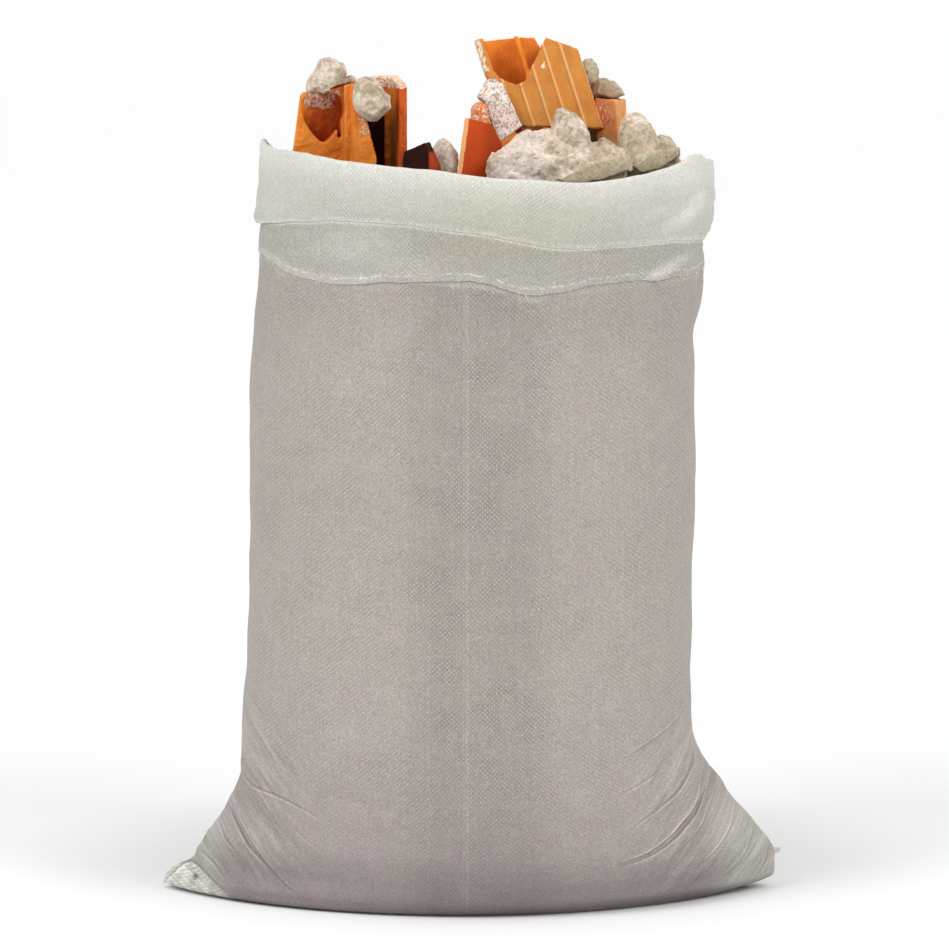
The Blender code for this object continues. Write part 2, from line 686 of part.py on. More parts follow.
def seat(obj, carriers, solver="EXACT"):
    """Cuts from obj the room that its carriers take, so that it rests against them."""
    for carrier in carriers:
        if boxes_meet(obj, carrier):
            combine(obj, swollen_hull(carrier), "DIFFERENCE", solver)
    keep_largest_body(obj)


def main():
    clear_scene()
    add_collection(PARTS, hidden=False)
    add_collection(CUTTERS, hidden=True)
    build_sack()
    core = build_core()
    pieces = [build_left_block(), build_big_block(), *build_shards(), *build_lumps()]
    for number, piece in enumerate(pieces):
        seat(piece, pieces[:number])
    seat(core, pieces, "MANIFOLD")


if __name__ == "__main__":
    main()
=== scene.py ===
"""Looks of the woven waste sack: its cloth and cuff, its frayed threads and the rubble in it.

Lengths are metres. The sack stands on the floor at z = 0 and its front faces -Y.
"""

import itertools
import json
import math
import random

import bmesh
import bpy
import numpy as np
from bpy.props import FloatProperty, FloatVectorProperty, IntProperty, PointerProperty
from mathutils import Euler, Matrix, Vector
from mathutils.bvhtree import BVHTree

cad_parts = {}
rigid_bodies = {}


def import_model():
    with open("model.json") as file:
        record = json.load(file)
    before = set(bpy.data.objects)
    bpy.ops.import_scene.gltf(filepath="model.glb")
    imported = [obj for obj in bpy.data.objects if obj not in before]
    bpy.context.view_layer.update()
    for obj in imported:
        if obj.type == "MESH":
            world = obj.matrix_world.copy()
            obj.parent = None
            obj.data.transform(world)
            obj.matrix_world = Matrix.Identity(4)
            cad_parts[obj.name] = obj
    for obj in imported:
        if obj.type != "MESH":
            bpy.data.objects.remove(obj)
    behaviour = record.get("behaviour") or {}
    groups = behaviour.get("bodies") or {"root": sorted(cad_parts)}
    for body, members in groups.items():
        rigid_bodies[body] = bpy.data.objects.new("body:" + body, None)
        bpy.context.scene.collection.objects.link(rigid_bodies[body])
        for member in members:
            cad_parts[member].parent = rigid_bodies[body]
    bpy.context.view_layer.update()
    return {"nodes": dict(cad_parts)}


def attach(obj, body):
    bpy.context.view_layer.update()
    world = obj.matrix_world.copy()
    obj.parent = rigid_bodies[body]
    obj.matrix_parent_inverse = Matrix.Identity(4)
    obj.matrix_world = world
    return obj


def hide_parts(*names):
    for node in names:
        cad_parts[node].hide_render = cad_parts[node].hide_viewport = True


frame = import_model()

bl_info = {
    "name": "Woven waste sack",
    "version": (1, 0, 0),
    "blender": (4, 5, 0),
    "location": "3D View > Sidebar > Waste sack",
    "description": "Dresses the woven rubble sack: cloth, cuff, threads, blocks, mortar and stage",
    "category": "Object",
}

BODY = "root"
CLOTH_UV = "cloth"
# The layers on which the cloth's material paints its creases' highlight and shade lines.
LAYERS = (0, 1)
# The mouth's middle along X, and the line at the front up which a tape runs straight.
MOUTH_X, CENTRE_X = 0.013, 0.0015
FLOOR_RADIUS = 300

# The camera: place, tilt below the level in degrees, lens and sensor in millimetres.
CAMERA_PLACE, CAMERA_TILT, LENS, SENSOR = (0.0053, -4.0, 0.85), 6.28, 156.4, 36
# Soft lights: name, turn from the front and climb in degrees, distance and size. All of
# them aim at one place.
LIT_PLACE = (0, 0, 0.4)
LIGHTS = (
    ("left_light", -53, 40, 3.2, 1.2),
    ("right_light", 53, 40, 3.2, 1.2),
    ("top_light", 0, 78, 2.6, 1.6),
)

# Horizontal sections of the filled sack: height, reach to the left and to the right of the
# origin, half depth, and pinch. A pinch of 1 is an ellipse and 2 is a lens with sharp ends.
SECTIONS = np.array((
    (0.0000, 0.2700, 0.2640, 0.1310, 1.46),
    (0.0034, 0.2950, 0.2745, 0.1370, 1.60),
    (0.0060, 0.3018, 0.2845, 0.1400, 1.70),
    (0.0094, 0.3000, 0.2936, 0.1428, 1.76),
    (0.0134, 0.2992, 0.3000, 0.1460, 1.80),
    (0.0174, 0.2955, 0.3010, 0.1480, 1.82),
    (0.0214, 0.2905, 0.3013, 0.1497, 1.82),
    (0.0254, 0.2826, 0.3013, 0.1513, 1.80),
    (0.0294, 0.2740, 0.3014, 0.1527, 1.77),
    (0.0335, 0.2702, 0.3018, 0.1540, 1.73),
    (0.0375, 0.2688, 0.3014, 0.1550, 1.70),
    (0.0415, 0.2668, 0.3006, 0.1560, 1.67),
    (0.0475, 0.2630, 0.2972, 0.1580, 1.62),
    (0.0575, 0.2572, 0.2893, 0.1607, 1.55),
    (0.0675, 0.2492, 0.2814, 0.1628, 1.49),
    (0.0775, 0.2422, 0.2725, 0.1647, 1.42),
    (0.0875, 0.2372, 0.2618, 0.1661, 1.36),
    (0.0975, 0.2312, 0.2542, 0.1675, 1.29),
    (0.1074, 0.2270, 0.2486, 0.1682, 1.23),
    (0.1174, 0.2238, 0.2406, 0.1688, 1.17),
    (0.1274, 0.2236, 0.2327, 0.1692, 1.12),
    (0.1374, 0.2232, 0.2275, 0.1695, 1.09),
    (0.1473, 0.2227, 0.2226, 0.1698, 1.07),
    (0.1573, 0.2226, 0.2197, 0.1700, 1.05),
    (0.1871, 0.2205, 0.2166, 0.1697, 1.02),
    (0.2169, 0.2183, 0.2158, 0.1692, 1.00),
    (0.2862, 0.2150, 0.2185, 0.1680, 0.99),
    (0.3848, 0.2144, 0.2204, 0.1660, 0.98),
    (0.4828, 0.2128, 0.2200, 0.1630, 0.98),
    (0.5121, 0.2117, 0.2196, 0.1615, 0.98),
    (0.5511, 0.2085, 0.2166, 0.1600, 1.00),
    (0.5609, 0.2080, 0.2198, 0.1590, 1.01),
    (0.5803, 0.2062, 0.2250, 0.1570, 1.02),
    (0.5950, 0.2052, 0.2268, 0.1560, 1.03),
    (0.6095, 0.2040, 0.2272, 0.1550, 1.04),
    (0.6289, 0.2035, 0.2258, 0.1540, 1.06),
    (0.6500, 0.2020, 0.2252, 0.1530, 1.08),
    (0.7000, 0.1965, 0.2295, 0.1500, 1.10),
    (0.7600, 0.1960, 0.2300, 0.1490, 1.10),
))

# Edges of the cuff round the mouth: angle from +X in degrees, and height. They are the rim,
# the upper band's lower fold and the raw edge.
RIM = (
    (0, 0.7175), (10, 0.7155), (25, 0.712), (45, 0.706), (70, 0.700), (90, 0.697), (120, 0.700),
    (150, 0.714), (170, 0.731), (180, 0.7365), (188, 0.7335), (198, 0.7298), (215, 0.727),
    (235, 0.7185), (255, 0.7115), (275, 0.704), (295, 0.700), (315, 0.708), (328, 0.7160),
    (338, 0.7235), (343, 0.7220), (348, 0.7185), (354, 0.7178),
)
FOLD_EDGE = (
    (0, 0.639), (30, 0.645), (90, 0.652), (150, 0.656), (180, 0.655), (200, 0.6575),
    (225, 0.6620), (250, 0.6605), (270, 0.6515), (290, 0.6390), (310, 0.6405), (335, 0.6415),
)
RAW_EDGE = (
    (0, 0.614), (40, 0.606), (90, 0.600), (140, 0.606), (180, 0.629), (200, 0.622), (215, 0.610),
    (230, 0.6035), (250, 0.6065), (267, 0.6085), (282, 0.5950), (300, 0.6035), (320, 0.6060),
    (340, 0.609),
)

# Creases of the front cloth as seen from the front: layer, the side on which its painted shade
# lies, height, half width, how plain its painted lines are, and guide points (x, z). Creases that
# lie close together are on different layers.
FRONT_CREASES = (
    (0, 1, 0.0015, 0.0027, 0.9, (
        (-0.2224, 0.1174), (-0.2118, 0.1106), (-0.2009, 0.1080), (-0.1873, 0.1068),
        (-0.1621, 0.0992), (-0.1424, 0.0904))),
    (0, 1, 0.0014, 0.0021, 1.1, (
        (-0.2354, 0.0825), (-0.2269, 0.0712), (-0.2158, 0.0535), (-0.2045, 0.0433),
        (-0.1944, 0.0333))),
    (1, -1, 0.0014, 0.0021, 1.0, (
        (-0.2289, 0.0863), (-0.2194, 0.0733), (-0.2087, 0.0577), (-0.1964, 0.0428),
        (-0.1793, 0.0265), (-0.1654, 0.0191))),
    (1, 1, 0.0014, 0.0025, 0.8, ((-0.2453, 0.0655), (-0.2368, 0.0533), (-0.2282, 0.0462))),
    (0, 1, 0.0010, 0.0030, 0.4, ((-0.1722, 0.0807), (-0.1573, 0.0685), (-0.1426, 0.0607))),
    (1, 1, 0.0010, 0.0034, 0.3, ((-0.1714, 0.1574), (-0.1615, 0.1523), (-0.1497, 0.1443))),
    (1, 1, 0.0014, 0.0022, 1.0, (
        (-0.3000, 0.0054), (-0.2871, 0.0174), (-0.2732, 0.0275), (-0.2552, 0.0187),
        (-0.2373, 0.0068))),
    (0, 1, 0.0013, 0.0022, 0.8, ((-0.2652, 0.0375), (-0.2519, 0.0305), (-0.2387, 0.0197))),
    (0, 1, 0.0013, 0.0022, 0.8, ((-0.2791, 0.0220), (-0.2633, 0.0141), (-0.2485, 0.0041))),
    (0, 1, 0.0014, 0.0030, 0.7, (
        (0.2101, 0.1931), (0.1991, 0.1800), (0.1836, 0.1704), (0.1636, 0.1615),
        (0.1488, 0.1541))),
    (1, -1, 0.0016, 0.0027, 0.9, (
        (0.2201, 0.1423), (0.2171, 0.1296), (0.2037, 0.1119), (0.1884, 0.1029),
        (0.1684, 0.0900), (0.1537, 0.0805))),
    (0, 1, 0.0012, 0.0018, 1.4, (
        (0.2253, 0.1186), (0.2212, 0.1031), (0.2137, 0.0915), (0.1982, 0.0790),
        (0.1832, 0.0662), (0.1636, 0.0571), (0.1441, 0.0523))),
    (1, -1, 0.0012, 0.0018, 1.1, (
        (0.2318, 0.1135), (0.2275, 0.0997), (0.2197, 0.0867), (0.2042, 0.0734),
        (0.1882, 0.0607), (0.1675, 0.0517), (0.1461, 0.0459))),
    (0, 1, 0.0015, 0.0025, 0.8, (
        (0.2376, 0.1021), (0.2303, 0.0895), (0.2215, 0.0758), (0.2011, 0.0588))),
    (1, 1, 0.0017, 0.0027, 0.9, (
        (0.2598, 0.0875), (0.2551, 0.0733), (0.2438, 0.0588), (0.2355, 0.0511),
        (0.2233, 0.0435))),
    (0, -1, 0.0011, 0.0030, 0.5, ((0.1837, 0.1340), (0.1636, 0.1236), (0.1439, 0.1169))),
    (0, 1, 0.0014, 0.0025, 0.7, (
        (0.2786, 0.0655), (0.2732, 0.0504), (0.2603, 0.0345), (0.2421, 0.0215))),
    (1, 1, 0.0013, 0.0023, 0.8, ((0.2926, 0.0425), (0.2879, 0.0279), (0.2756, 0.0121))),
    (0, 1, 0.0010, 0.0040, 0.2, ((0.2135, 0.3322), (0.2000, 0.3205), (0.1798, 0.3108))),
    (0, 1, 0.0010, 0.0040, 0.2, ((0.2145, 0.4826), (0.2011, 0.4700), (0.1791, 0.4584))),
    (0, 1, 0.0009, 0.0040, 0.2, ((-0.2096, 0.3322), (-0.2000, 0.3205), (-0.1778, 0.3128))),
    (1, 1, 0.0010, 0.0040, 0.2, ((0.2135, 0.2361), (0.2001, 0.2166), (0.1798, 0.2019))),
    (0, 1, 0.0009, 0.0040, 0.2, ((-0.2168, 0.2041), (-0.2063, 0.1903), (-0.1879, 0.1805))),
)
CUFF_CREASES = (
    (0, 1, 0.0016, 0.0065, 0.12, (
        (0.1570, 0.6510), (0.1830, 0.6590), (0.2050, 0.6700), (0.2210, 0.6800))),
    (1, 1, 0.0010, 0.0070, 0.10, ((0.1180, 0.6560), (0.1420, 0.6640), (0.1640, 0.6780))),
    (1, -1, 0.0009, 0.0070, 0.10, ((-0.1900, 0.6730), (-0.1600, 0.6660), (-0.1250, 0.6620))),
)
BAND_CREASES = (
    (0, 1, 0.0013, 0.0045, 0.15, ((0.1580, 0.5960), (0.1770, 0.6060), (0.1930, 0.6130))),
)
# The slope of the fine pleats at the bottom corners, as its cosine and sine.
PLEAT_COSINE, PLEAT_SINE = 0.80, 0.60
# How far from a crease the material still paints its highlight and shade lines.
LINE_REACH = 0.0045

# How much painted glow whitens the cuff's upper band on its way from the rim down to its fold, and
# how far its ends stand out there at the left and at the right.
RIM_PAINTED_GLOW = ((0.0, 0.10, 0.25, 0.40, 0.75, 0.90, 1.0), (0.48, 0.42, 0.29, 0.19, 0.13, 0.09, 0.11))
LEFT_FLARE = ((0.0, 0.50, 0.80, 0.93, 1.0), (0.0, 0.0010, 0.0040, 0.0064, 0.0036))
RIGHT_FLARE = ((0.0, 0.30, 0.75, 0.88, 1.0), (0.0, 0.0016, 0.0066, 0.0052, 0.0008))

# Painted highlights on the cuff: whether on the upper band, place (x, z), half length, half width,
# slope in degrees, and how much.
PAINTED_HIGHLIGHTS = (
    (True, 0.2075, 0.6665, 0.0230, 0.0070, 34, 1.00),
    (True, 0.2190, 0.6800, 0.0120, 0.0050, 42, 0.90),
    (True, 0.1800, 0.6720, 0.0150, 0.0030, 26, 0.30),
    (True, 0.2060, 0.7020, 0.0240, 0.0130, 0, 0.36),
    (True, -0.0900, 0.6510, 0.0070, 0.0025, 0, 0.60),
    (True, -0.1850, 0.6700, 0.0150, 0.0100, 0, 0.25),
    (False, 0.1830, 0.6135, 0.0200, 0.0050, 27, 0.80),
    (False, 0.1600, 0.6030, 0.0160, 0.0030, 20, 0.50),
    (False, 0.2000, 0.6230, 0.0090, 0.0040, 24, 0.70),
    (False, -0.1480, 0.6040, 0.0180, 0.0030, -4, 0.30),
    (False, -0.1080, 0.6380, 0.0420, 0.0200, 0, 0.34),
    (False, -0.0600, 0.6220, 0.0360, 0.0120, 0, 0.30),
)
# The folded tail of hem at the left bottom corner: its edge (x, z) and its stitch hole.
TAIL_EDGE = ((-0.2732, 0.0275), (-0.2373, 0.0068))
TAIL_HOLE = (-0.2672, 0.0172)

# Where each clay piece stands in the design: position, lean, tip, turn, and the axis along
# which its clay was pressed through the die.
CLAY_PLACES = {
    "left_block_fragment": ((-0.1600, -0.0640, 0.6620), 0, 0, 8, "y"),
    "big_block_fragment": ((0.0720, -0.0430, 0.7900), -17.8, -4, 0, "z"),
    "centre_block_shard": ((0.0078, -0.0850, 0.7555), 0, 0, 26, "z"),
    "dark_block_shard": ((-0.0450, -0.0820, 0.7350), 0, 0, -14, "z"),
    "back_right_block_fragment": ((0.1392, -0.0040, 0.7220), -3, 0, -22, "z"),
    "back_left_block_shard": ((-0.1150, 0.0560, 0.7000), 24, -14, 14, "z"),
    "back_block_shard": ((0.0560, 0.1000, 0.6960), -35, -12, -10, "z"),
    "flat_block_shard": ((0.1450, 0.0680, 0.6980), 8, 8, -25, "x"),
    "small_brick_chip": ((0.0115, -0.0520, 0.7500), 0, 0, 0, "z"),
}
# The left block along X, in its own frame: where its left cell ends, where the painted shade of
# its dark gap starts, and the inner and the outer face of its right wall.
CELL_END, GAP_START, WALL_START, WALL_END = 0.043, 0.055, 0.0790, 0.0868
# Ribs on the large block's face, in its own frame.
RIB_PITCH, RIB_WIDTH, FIRST_RIB = 0.0157, 0.0024, -0.0213

# Pale mortar dust on the clay, in each piece's own frame: low x, high x, low z, high z, how much.
CRUSTS = {
    "left_block_fragment": (
        (0.0085, 0.0385, 0.1040, 0.1240, 1.1), (0.0736, 0.1012, 0.1235, 0.1360, 1.2),
        (0.0545, 0.0690, 0.0800, 0.0980, 0.9)),
    "small_brick_chip": ((-0.0200, 0.0200, -0.0200, 0.0400, 0.9),),
    "big_block_fragment": (
        (-0.0530, -0.0462, 0.0270, 0.0620, 1.2), (0.0025, 0.0055, 0.0148, 0.0184, 2.0),
        (0.0153, 0.0181, 0.0111, 0.0140, 2.0)),
    "back_right_block_fragment": (
        (-0.0100, 0.0070, 0.0270, 0.0500, 0.7), (-0.0060, 0.0120, -0.0050, 0.0110, 1.0)),
}

# How much painted shade darkens the clay's hollows on each piece, where they stand open to the
# light.
HOLLOW_SHADE_SHARE = {"big_block_fragment": 0.13, "back_right_block_fragment": 0.9}

# Clay grit that fills the slit under the large block, by place, painted dark as the shade there.
GRIT = (
    (0.0500, -0.0360, 0.7435), (0.0590, -0.0390, 0.7440), (0.0670, -0.0350, 0.7440),
    (0.0750, -0.0390, 0.7440), (0.0830, -0.0360, 0.7435), (0.0630, -0.0280, 0.7440),
    (0.0790, -0.0290, 0.7440),
)

# The clean front of the mortar beds, which takes painted shade in greenish grey, a plane by a
# point and its turn about Z, and how greenish grey each of the other lumps is.
BEDS = {
    "front_mortar_chunk": ((0.0840, -0.1250, 0), 20),
    "right_mortar_chunk": ((0.1560, -0.0930, 0), 39),
}
GREYNESS = {
    "back_mortar_lump": 1.0, "back_upper_mortar_lump": 1.0, "lower_left_mortar_lump": 0.25,
    "upper_left_mortar_lump": 0.05,
}
# Lumps that the front shows, with finer meshes than the rest.
PLAIN_TO_SEE = (
    "front_mortar_chunk", "right_mortar_chunk", "upper_left_mortar_lump",
    "lower_left_mortar_lump", "back_mortar_lump", "back_upper_mortar_lump",
)

MORTAR_NODES = sorted(
    name for name in frame["nodes"] if name.endswith(("_mortar_lump", "_mortar_chunk")))


class ClothSettings(bpy.types.PropertyGroup):
    flat_width: FloatProperty(
        name="Width round", description="Cloth round the tube, twice the flat sack's width",
        default=1.2, unit="LENGTH")
    flat_length: FloatProperty(
        name="Length", description="Cloth from the bottom seam to the raw edge",
        default=1.1, unit="LENGTH")
    tape_width: FloatProperty(
        name="Tape width", description="Width of one woven tape", default=0.0022, unit="LENGTH")
    lump_depth: FloatProperty(
        name="Lump depth", description="How far the rubble's lumps push the cloth out",
        default=0.0016, unit="LENGTH")
    thread_count: IntProperty(
        name="Loose threads", description="Frayed threads along the raw edge", default=90)
    body_colour: FloatVectorProperty(
        name="Body", description="Single cloth over dark rubble", subtype="COLOR",
        default=(0.385, 0.347, 0.312))
    # Painted shade: the cloth's colour near the floor, darker where less light reaches the foot.
    foot_shade_colour: FloatVectorProperty(
        name="Foot", description="Dusty cloth near the floor", subtype="COLOR",
        default=(0.340, 0.294, 0.288))
    band_colour: FloatVectorProperty(
        name="Lower band", description="Cuff's lower band, two layers", subtype="COLOR",
        default=(0.352, 0.334, 0.296))
    cuff_colour: FloatVectorProperty(
        name="Upper band", description="Cuff's upper band, three layers", subtype="COLOR",
        default=(0.418, 0.410, 0.362))


class RubbleSettings(bpy.types.PropertyGroup):
    clay_voxel: FloatProperty(
        name="Clay detail", description="Mesh size on the clay pieces", default=0.0011,
        unit="LENGTH")
    mortar_voxel: FloatProperty(
        name="Mortar detail", description="Mesh size on the mortar lumps", default=0.0013,
        unit="LENGTH")
    chip_depth: FloatProperty(
        name="Chips", description="How deep the broken edges are chipped", default=0.0022,
        unit="LENGTH")
    crumb_count: IntProperty(
        name="Crumbs", description="Loose crumbs and stones on the heap", default=420)
    clay_colour: FloatVectorProperty(
        name="Clay", description="Fired clay", subtype="COLOR", default=(0.59, 0.150, 0.014))
    clay_light_colour: FloatVectorProperty(
        name="Light clay", description="Paler fired clay", subtype="COLOR",
        default=(0.75, 0.240, 0.032))
    mortar_colour: FloatVectorProperty(
        name="Mortar", description="Old lime mortar", subtype="COLOR",
        default=(0.615, 0.525, 0.440))
    plaster_colour: FloatVectorProperty(
        name="Plaster", description="White plaster", subtype="COLOR", default=(0.74, 0.68, 0.62))


class StageSettings(bpy.types.PropertyGroup):
    floor_colour: FloatVectorProperty(
        name="Floor", description="Pale studio floor", subtype="COLOR",
        default=(0.88, 0.88, 0.88))
    left_power: FloatProperty(
        name="Left light", description="Soft light at the upper left", default=42.0,
        unit="POWER")
    right_power: FloatProperty(
        name="Right light", description="Soft light at the upper right", default=38.0,
        unit="POWER")
    top_power: FloatProperty(
        name="Top light", description="Soft light overhead", default=17.0, unit="POWER")
    low_sky: FloatProperty(
        name="Low fill", description="Even light from near the horizon", default=1.0)
    high_sky: FloatProperty(
        name="High fill", description="Even light from overhead", default=0.52)


# Materials


class Value:
    """A socket in a node tree. Operators on it add Math nodes."""

    def __init__(self, nodes, socket):
        self.nodes, self.socket = nodes, socket

    def math(self, operation, *inputs):
        return self.nodes.node(
            "ShaderNodeMath", {"operation": operation}, dict(enumerate(inputs)))

    def __add__(self, other):
        return self.math("ADD", self, other)

    def __sub__(self, other):
        return self.math("SUBTRACT", self, other)

    def __rsub__(self, other):
        return self.math("SUBTRACT", other, self)

    def __mul__(self, other):
        return self.math("MULTIPLY", self, other)

    def __truediv__(self, other):
        return self.math("DIVIDE", self, other)

    def __abs__(self):
        return self.math("ABSOLUTE", self)

    __radd__, __rmul__ = __add__, __mul__

    def floor(self):
        return self.math("FLOOR", self)

    def fract(self):
        return self.math("FRACT", self)

    def sine(self):
        return self.math("SINE", self)

    def root(self):
        return self.math("SQRT", self)

    def sign(self):
        return self.math("SIGN", self)

    def most(self, other):
        return self.math("MAXIMUM", self, other)

    def band(self, low, high, to_low=0.0, to_high=1.0):
        """Rises smoothly from to_low to to_high while the value goes from low to high."""
        return self.nodes.node(
            "ShaderNodeMapRange", {"interpolation_type": "SMOOTHSTEP"},
            {0: self, 1: low, 2: high, 3: to_low, 4: to_high})

    def split(self):
        return [
            self.nodes.node("ShaderNodeSeparateXYZ", {}, {0: self}, output=k) for k in range(3)
        ]


class Nodes:
    """A node tree under construction."""

    def __init__(self, tree):
        self.tree = tree

    def node(self, kind, settings=None, inputs=None, output=0):
        made = self.tree.nodes.new(kind)
        for name, value in (settings or {}).items():
            setattr(made, name, value)
        for key, value in (inputs or {}).items():
            self.fill(made.inputs[key], value)
        return Value(self, made.outputs[output])

    def fill(self, socket, value):
        if isinstance(value, Value):
            self.tree.links.new(value.socket, socket)
        elif socket.type == "RGBA":
            socket.default_value = (*tuple(value)[:3], 1)
        else:
            socket.default_value = value


class Finish(Nodes):
    """A material under construction round its Principled shader."""

    def __init__(self, name):
        self.material = bpy.data.materials.new(name)
        self.material.use_nodes = True
        super().__init__(self.material.node_tree)
        self.shader = self.tree.nodes["Principled BSDF"]

    def place(self):
        return self.node("ShaderNodeTexCoord", output="Object")

    def attribute(self, name, output="Fac"):
        return self.node("ShaderNodeAttribute", {"attribute_name": name}, output=output)

    def stretched(self, vector, scale):
        return self.node("ShaderNodeVectorMath", {"operation": "MULTIPLY"}, {0: vector, 1: scale})

    def noise(self, vector, size, detail=2.0, roughness=0.5):
        """Noise from 0 to 1 with features about size across."""
        return self.node("ShaderNodeTexNoise", {}, {
            "Vector": vector, "Scale": 1 / size, "Detail": detail, "Roughness": roughness})

    def cells(self, vector, size, output="Distance"):
        return self.node(
            "ShaderNodeTexVoronoi", {}, {"Vector": vector, "Scale": 1 / size}, output=output)

    def cell_value(self, vector, size):
        """A random number from 0 to 1 for each cell of about that size."""
        return self.cells(vector, size, "Color").split()[0]

    def random(self, number):
        return self.node(
            "ShaderNodeTexWhiteNoise", {"noise_dimensions": "1D"}, {"W": number})

    def mix(self, share, first, second, blend="MIX"):
        return self.node(
            "ShaderNodeMix", {"data_type": "RGBA", "blend_type": blend, "clamp_factor": True},
            {0: share, 6: first, 7: second}, output=2)

    def scaled(self, colour, factor):
        """The colour times a number."""
        return self.node(
            "ShaderNodeVectorMath", {"operation": "SCALE"}, {0: colour, "Scale": factor})

    def finished(self, colour, roughness, height=None, depth=0.0004, strength=1.0, specular=0.3):
        self.fill(self.shader.inputs["Base Color"], colour)
        self.fill(self.shader.inputs["Roughness"], roughness)
        self.shader.inputs["Specular IOR Level"].default_value = specular
        if height is not None:
            bump = self.node("ShaderNodeBump", {}, {
                "Strength": strength, "Distance": depth, "Height": height})
            self.fill(self.shader.inputs["Normal"], bump)
        return self.material


def cloth_finish(settings):
    """Plain weave of flat tapes, paler where the cuff has more layers, with painted light and
    shade on the cuff, the creases and the pleats, and painted shade down the middle, along the
    sides and at the foot.
    """
    f = Finish("woven_cloth")
    along_width, along_length, _ = f.node("ShaderNodeUVMap", {"uv_map": CLOTH_UV}).split()
    warp_at, weft_at = along_width / settings.tape_width, along_length / settings.tape_width
    warp, weft = warp_at.floor(), weft_at.floor()
    across, along = warp_at - warp, weft_at - weft
    over = ((warp + weft) * 0.5).fract() * 2
    under = 1 - over
    hump = over * (along * math.pi).sine() + under * (across * math.pi).sine()
    warp_rim = abs(across - 0.5).band(0.34, 0.50)
    weft_rim = abs(along - 0.5).band(0.34, 0.50)
    tape_edge = over * warp_rim + under * weft_rim
    tone = over * f.random(warp) + under * f.random(weft + 0.5)
    place = f.place()
    sideways, _, height = place.split()
    far = abs(sideways)
    patches = f.noise(place, 0.09, 3.0, 0.6)
    rubble_behind = f.noise(place, 0.028, 2.0, 0.5)
    tint = f.noise(place, 0.032, 1.0, 0.5)
    grain = f.noise(place, 0.0017, 1.0, 0.6)
    strand_at = f.node("ShaderNodeCombineXYZ", {}, {
        0: far * PLEAT_COSINE - height * PLEAT_SINE, 1: far * 0.05 + height * 0.067,
        2: sideways.sign()})
    strands = f.noise(strand_at, 0.0026, 2.0, 0.6)
    # Painted shade towards the floor, broken up by patches.
    foot = height.band(0.30, 0.0) * 0.9 + (patches - 0.5) * 0.4
    cover = f.attribute("cover")
    single = cover.band(0.3, 0.0)
    middle = along_width - settings.flat_width / 4
    centre_band = abs(middle - 0.008).band(0.088, 0.034) * single
    plainness = (0.85 + 1.2 * f.noise(place, 0.035, 2.0).band(0.40, 0.66)) * (
        0.80 + 0.20 * single) * (1 + 0.35 * centre_band) * (
        1 - 0.35 * f.attribute("ear")) * (1 - 0.7 * cover * far.band(0.180, 0.212)) * (
        0.50 + 0.50 * height.band(0.02, 0.20))
    colour = f.mix(foot, settings.body_colour, settings.foot_shade_colour)
    ear_tip = far.band(0.215, 0.265) * height.band(0.13, 0.07)
    colour = f.mix(ear_tip * 0.60, colour, (0.48, 0.475, 0.42))
    colour = f.mix(cover.band(0.1, 0.5), colour, settings.band_colour)
    colour = f.mix(cover.band(0.55, 1.0), colour, settings.cuff_colour)
    pale_tape = (0.80, 0.80, 0.75)
    # Painted glow: the rim whiter as if lit through, and painted light round the fold against its
    # shadow.
    colour = f.mix(f.attribute("painted_glow"), colour, (0.80, 0.80, 0.76))
    # Painted highlights on the cuff, with the paler hem strip and the pale tail.
    colour = f.mix(f.attribute("hem") * 0.60, colour, pale_tape)
    warm = cover.band(0.2, 0.4) * abs(sideways - 0.045).band(0.125, 0.030)
    warm = warm * height.band(0.725, 0.665) * height.band(0.612, 0.642)
    colour = f.mix(warm, colour, (0.955, 0.945, 0.875), "MULTIPLY")
    fuzz = f.noise(f.stretched(place, (1, 1, 2)), 0.005, 3.0, 0.6).band(0.42, 0.62)
    # Pale lines run along the hem above the raw edge; above the fold runs a painted highlight, and
    # under it painted light against the fold's shadow.
    hem_rise, fold_rise, fold_drop = 0.0080, 0.0022, 0.0010
    above_raw, above_fold = f.attribute("above_raw"), f.attribute("above_fold")
    wavy = above_raw + 0.004 * f.noise(place, 0.030, 1.0)
    raw_line = abs(wavy - hem_rise).band(0.0015, 0.0003) * fuzz
    fold_highlight = abs(above_fold - fold_rise).band(0.0024, 0.0006) * fuzz
    under_fold_light = abs(above_fold + fold_drop).band(0.0028, 0.0005)
    for line, amount in ((raw_line, 0.44), (fold_highlight, 0.26), (under_fold_light, 0.34)):
        colour = f.mix(line * amount, colour, pale_tape)
    colour = f.mix(tint.band(0.42, 0.62) * 0.06, colour, (0.46, 0.50, 0.36))
    colour = f.mix(tint.band(0.48, 0.30) * 0.06, colour, (0.52, 0.40, 0.40))
    centre_line = abs(middle + 0.003).band(0.0016, 0.0008) * (0.25 + 0.75 * tone)
    side_line = abs(abs(middle + 0.022) - 0.016).band(0.0012, 0.0006) * 0.30
    lines = centre_line.most(side_line) * single
    stitch_pitch, stitch_height = 0.008, 0.015
    seam = along_length.band(0.030, 0.026)
    stitch = (along_width / stitch_pitch).fract().band(0.50, 0.62)
    stitch = stitch * abs(along_length - stitch_height).band(0.0022, 0.0012)
    # Tapes, their edges and the gaps between them, then the tone of each tape and crossing.
    shade = (
        (1 + plainness * (0.12 * over - 0.06))
        * (1 - plainness * (0.14 * tape_edge + 0.22 * warp_rim * weft_rim))
        * (0.965 + 0.07 * tone)
        * (0.94 + 0.12 * f.random(warp * 0.7548 + weft * 0.5698))
    )
    # Dust, the dark rubble behind a single layer, and painted shade down the middle and along the
    # sides.
    shade = (
        shade * (0.95 + 0.10 * patches)
        * (1 + (0.78 - 0.44 * cover.band(0.55, 1.0) - 0.26 * height.band(0.12, 0.02)) * (
            grain - 0.5))
        * (1 - single * 0.10 * (rubble_behind - 0.3))
        * (1 - 0.130 * centre_band)
        * (1 - 0.055 * single * far.band(0.135, 0.215))
    )
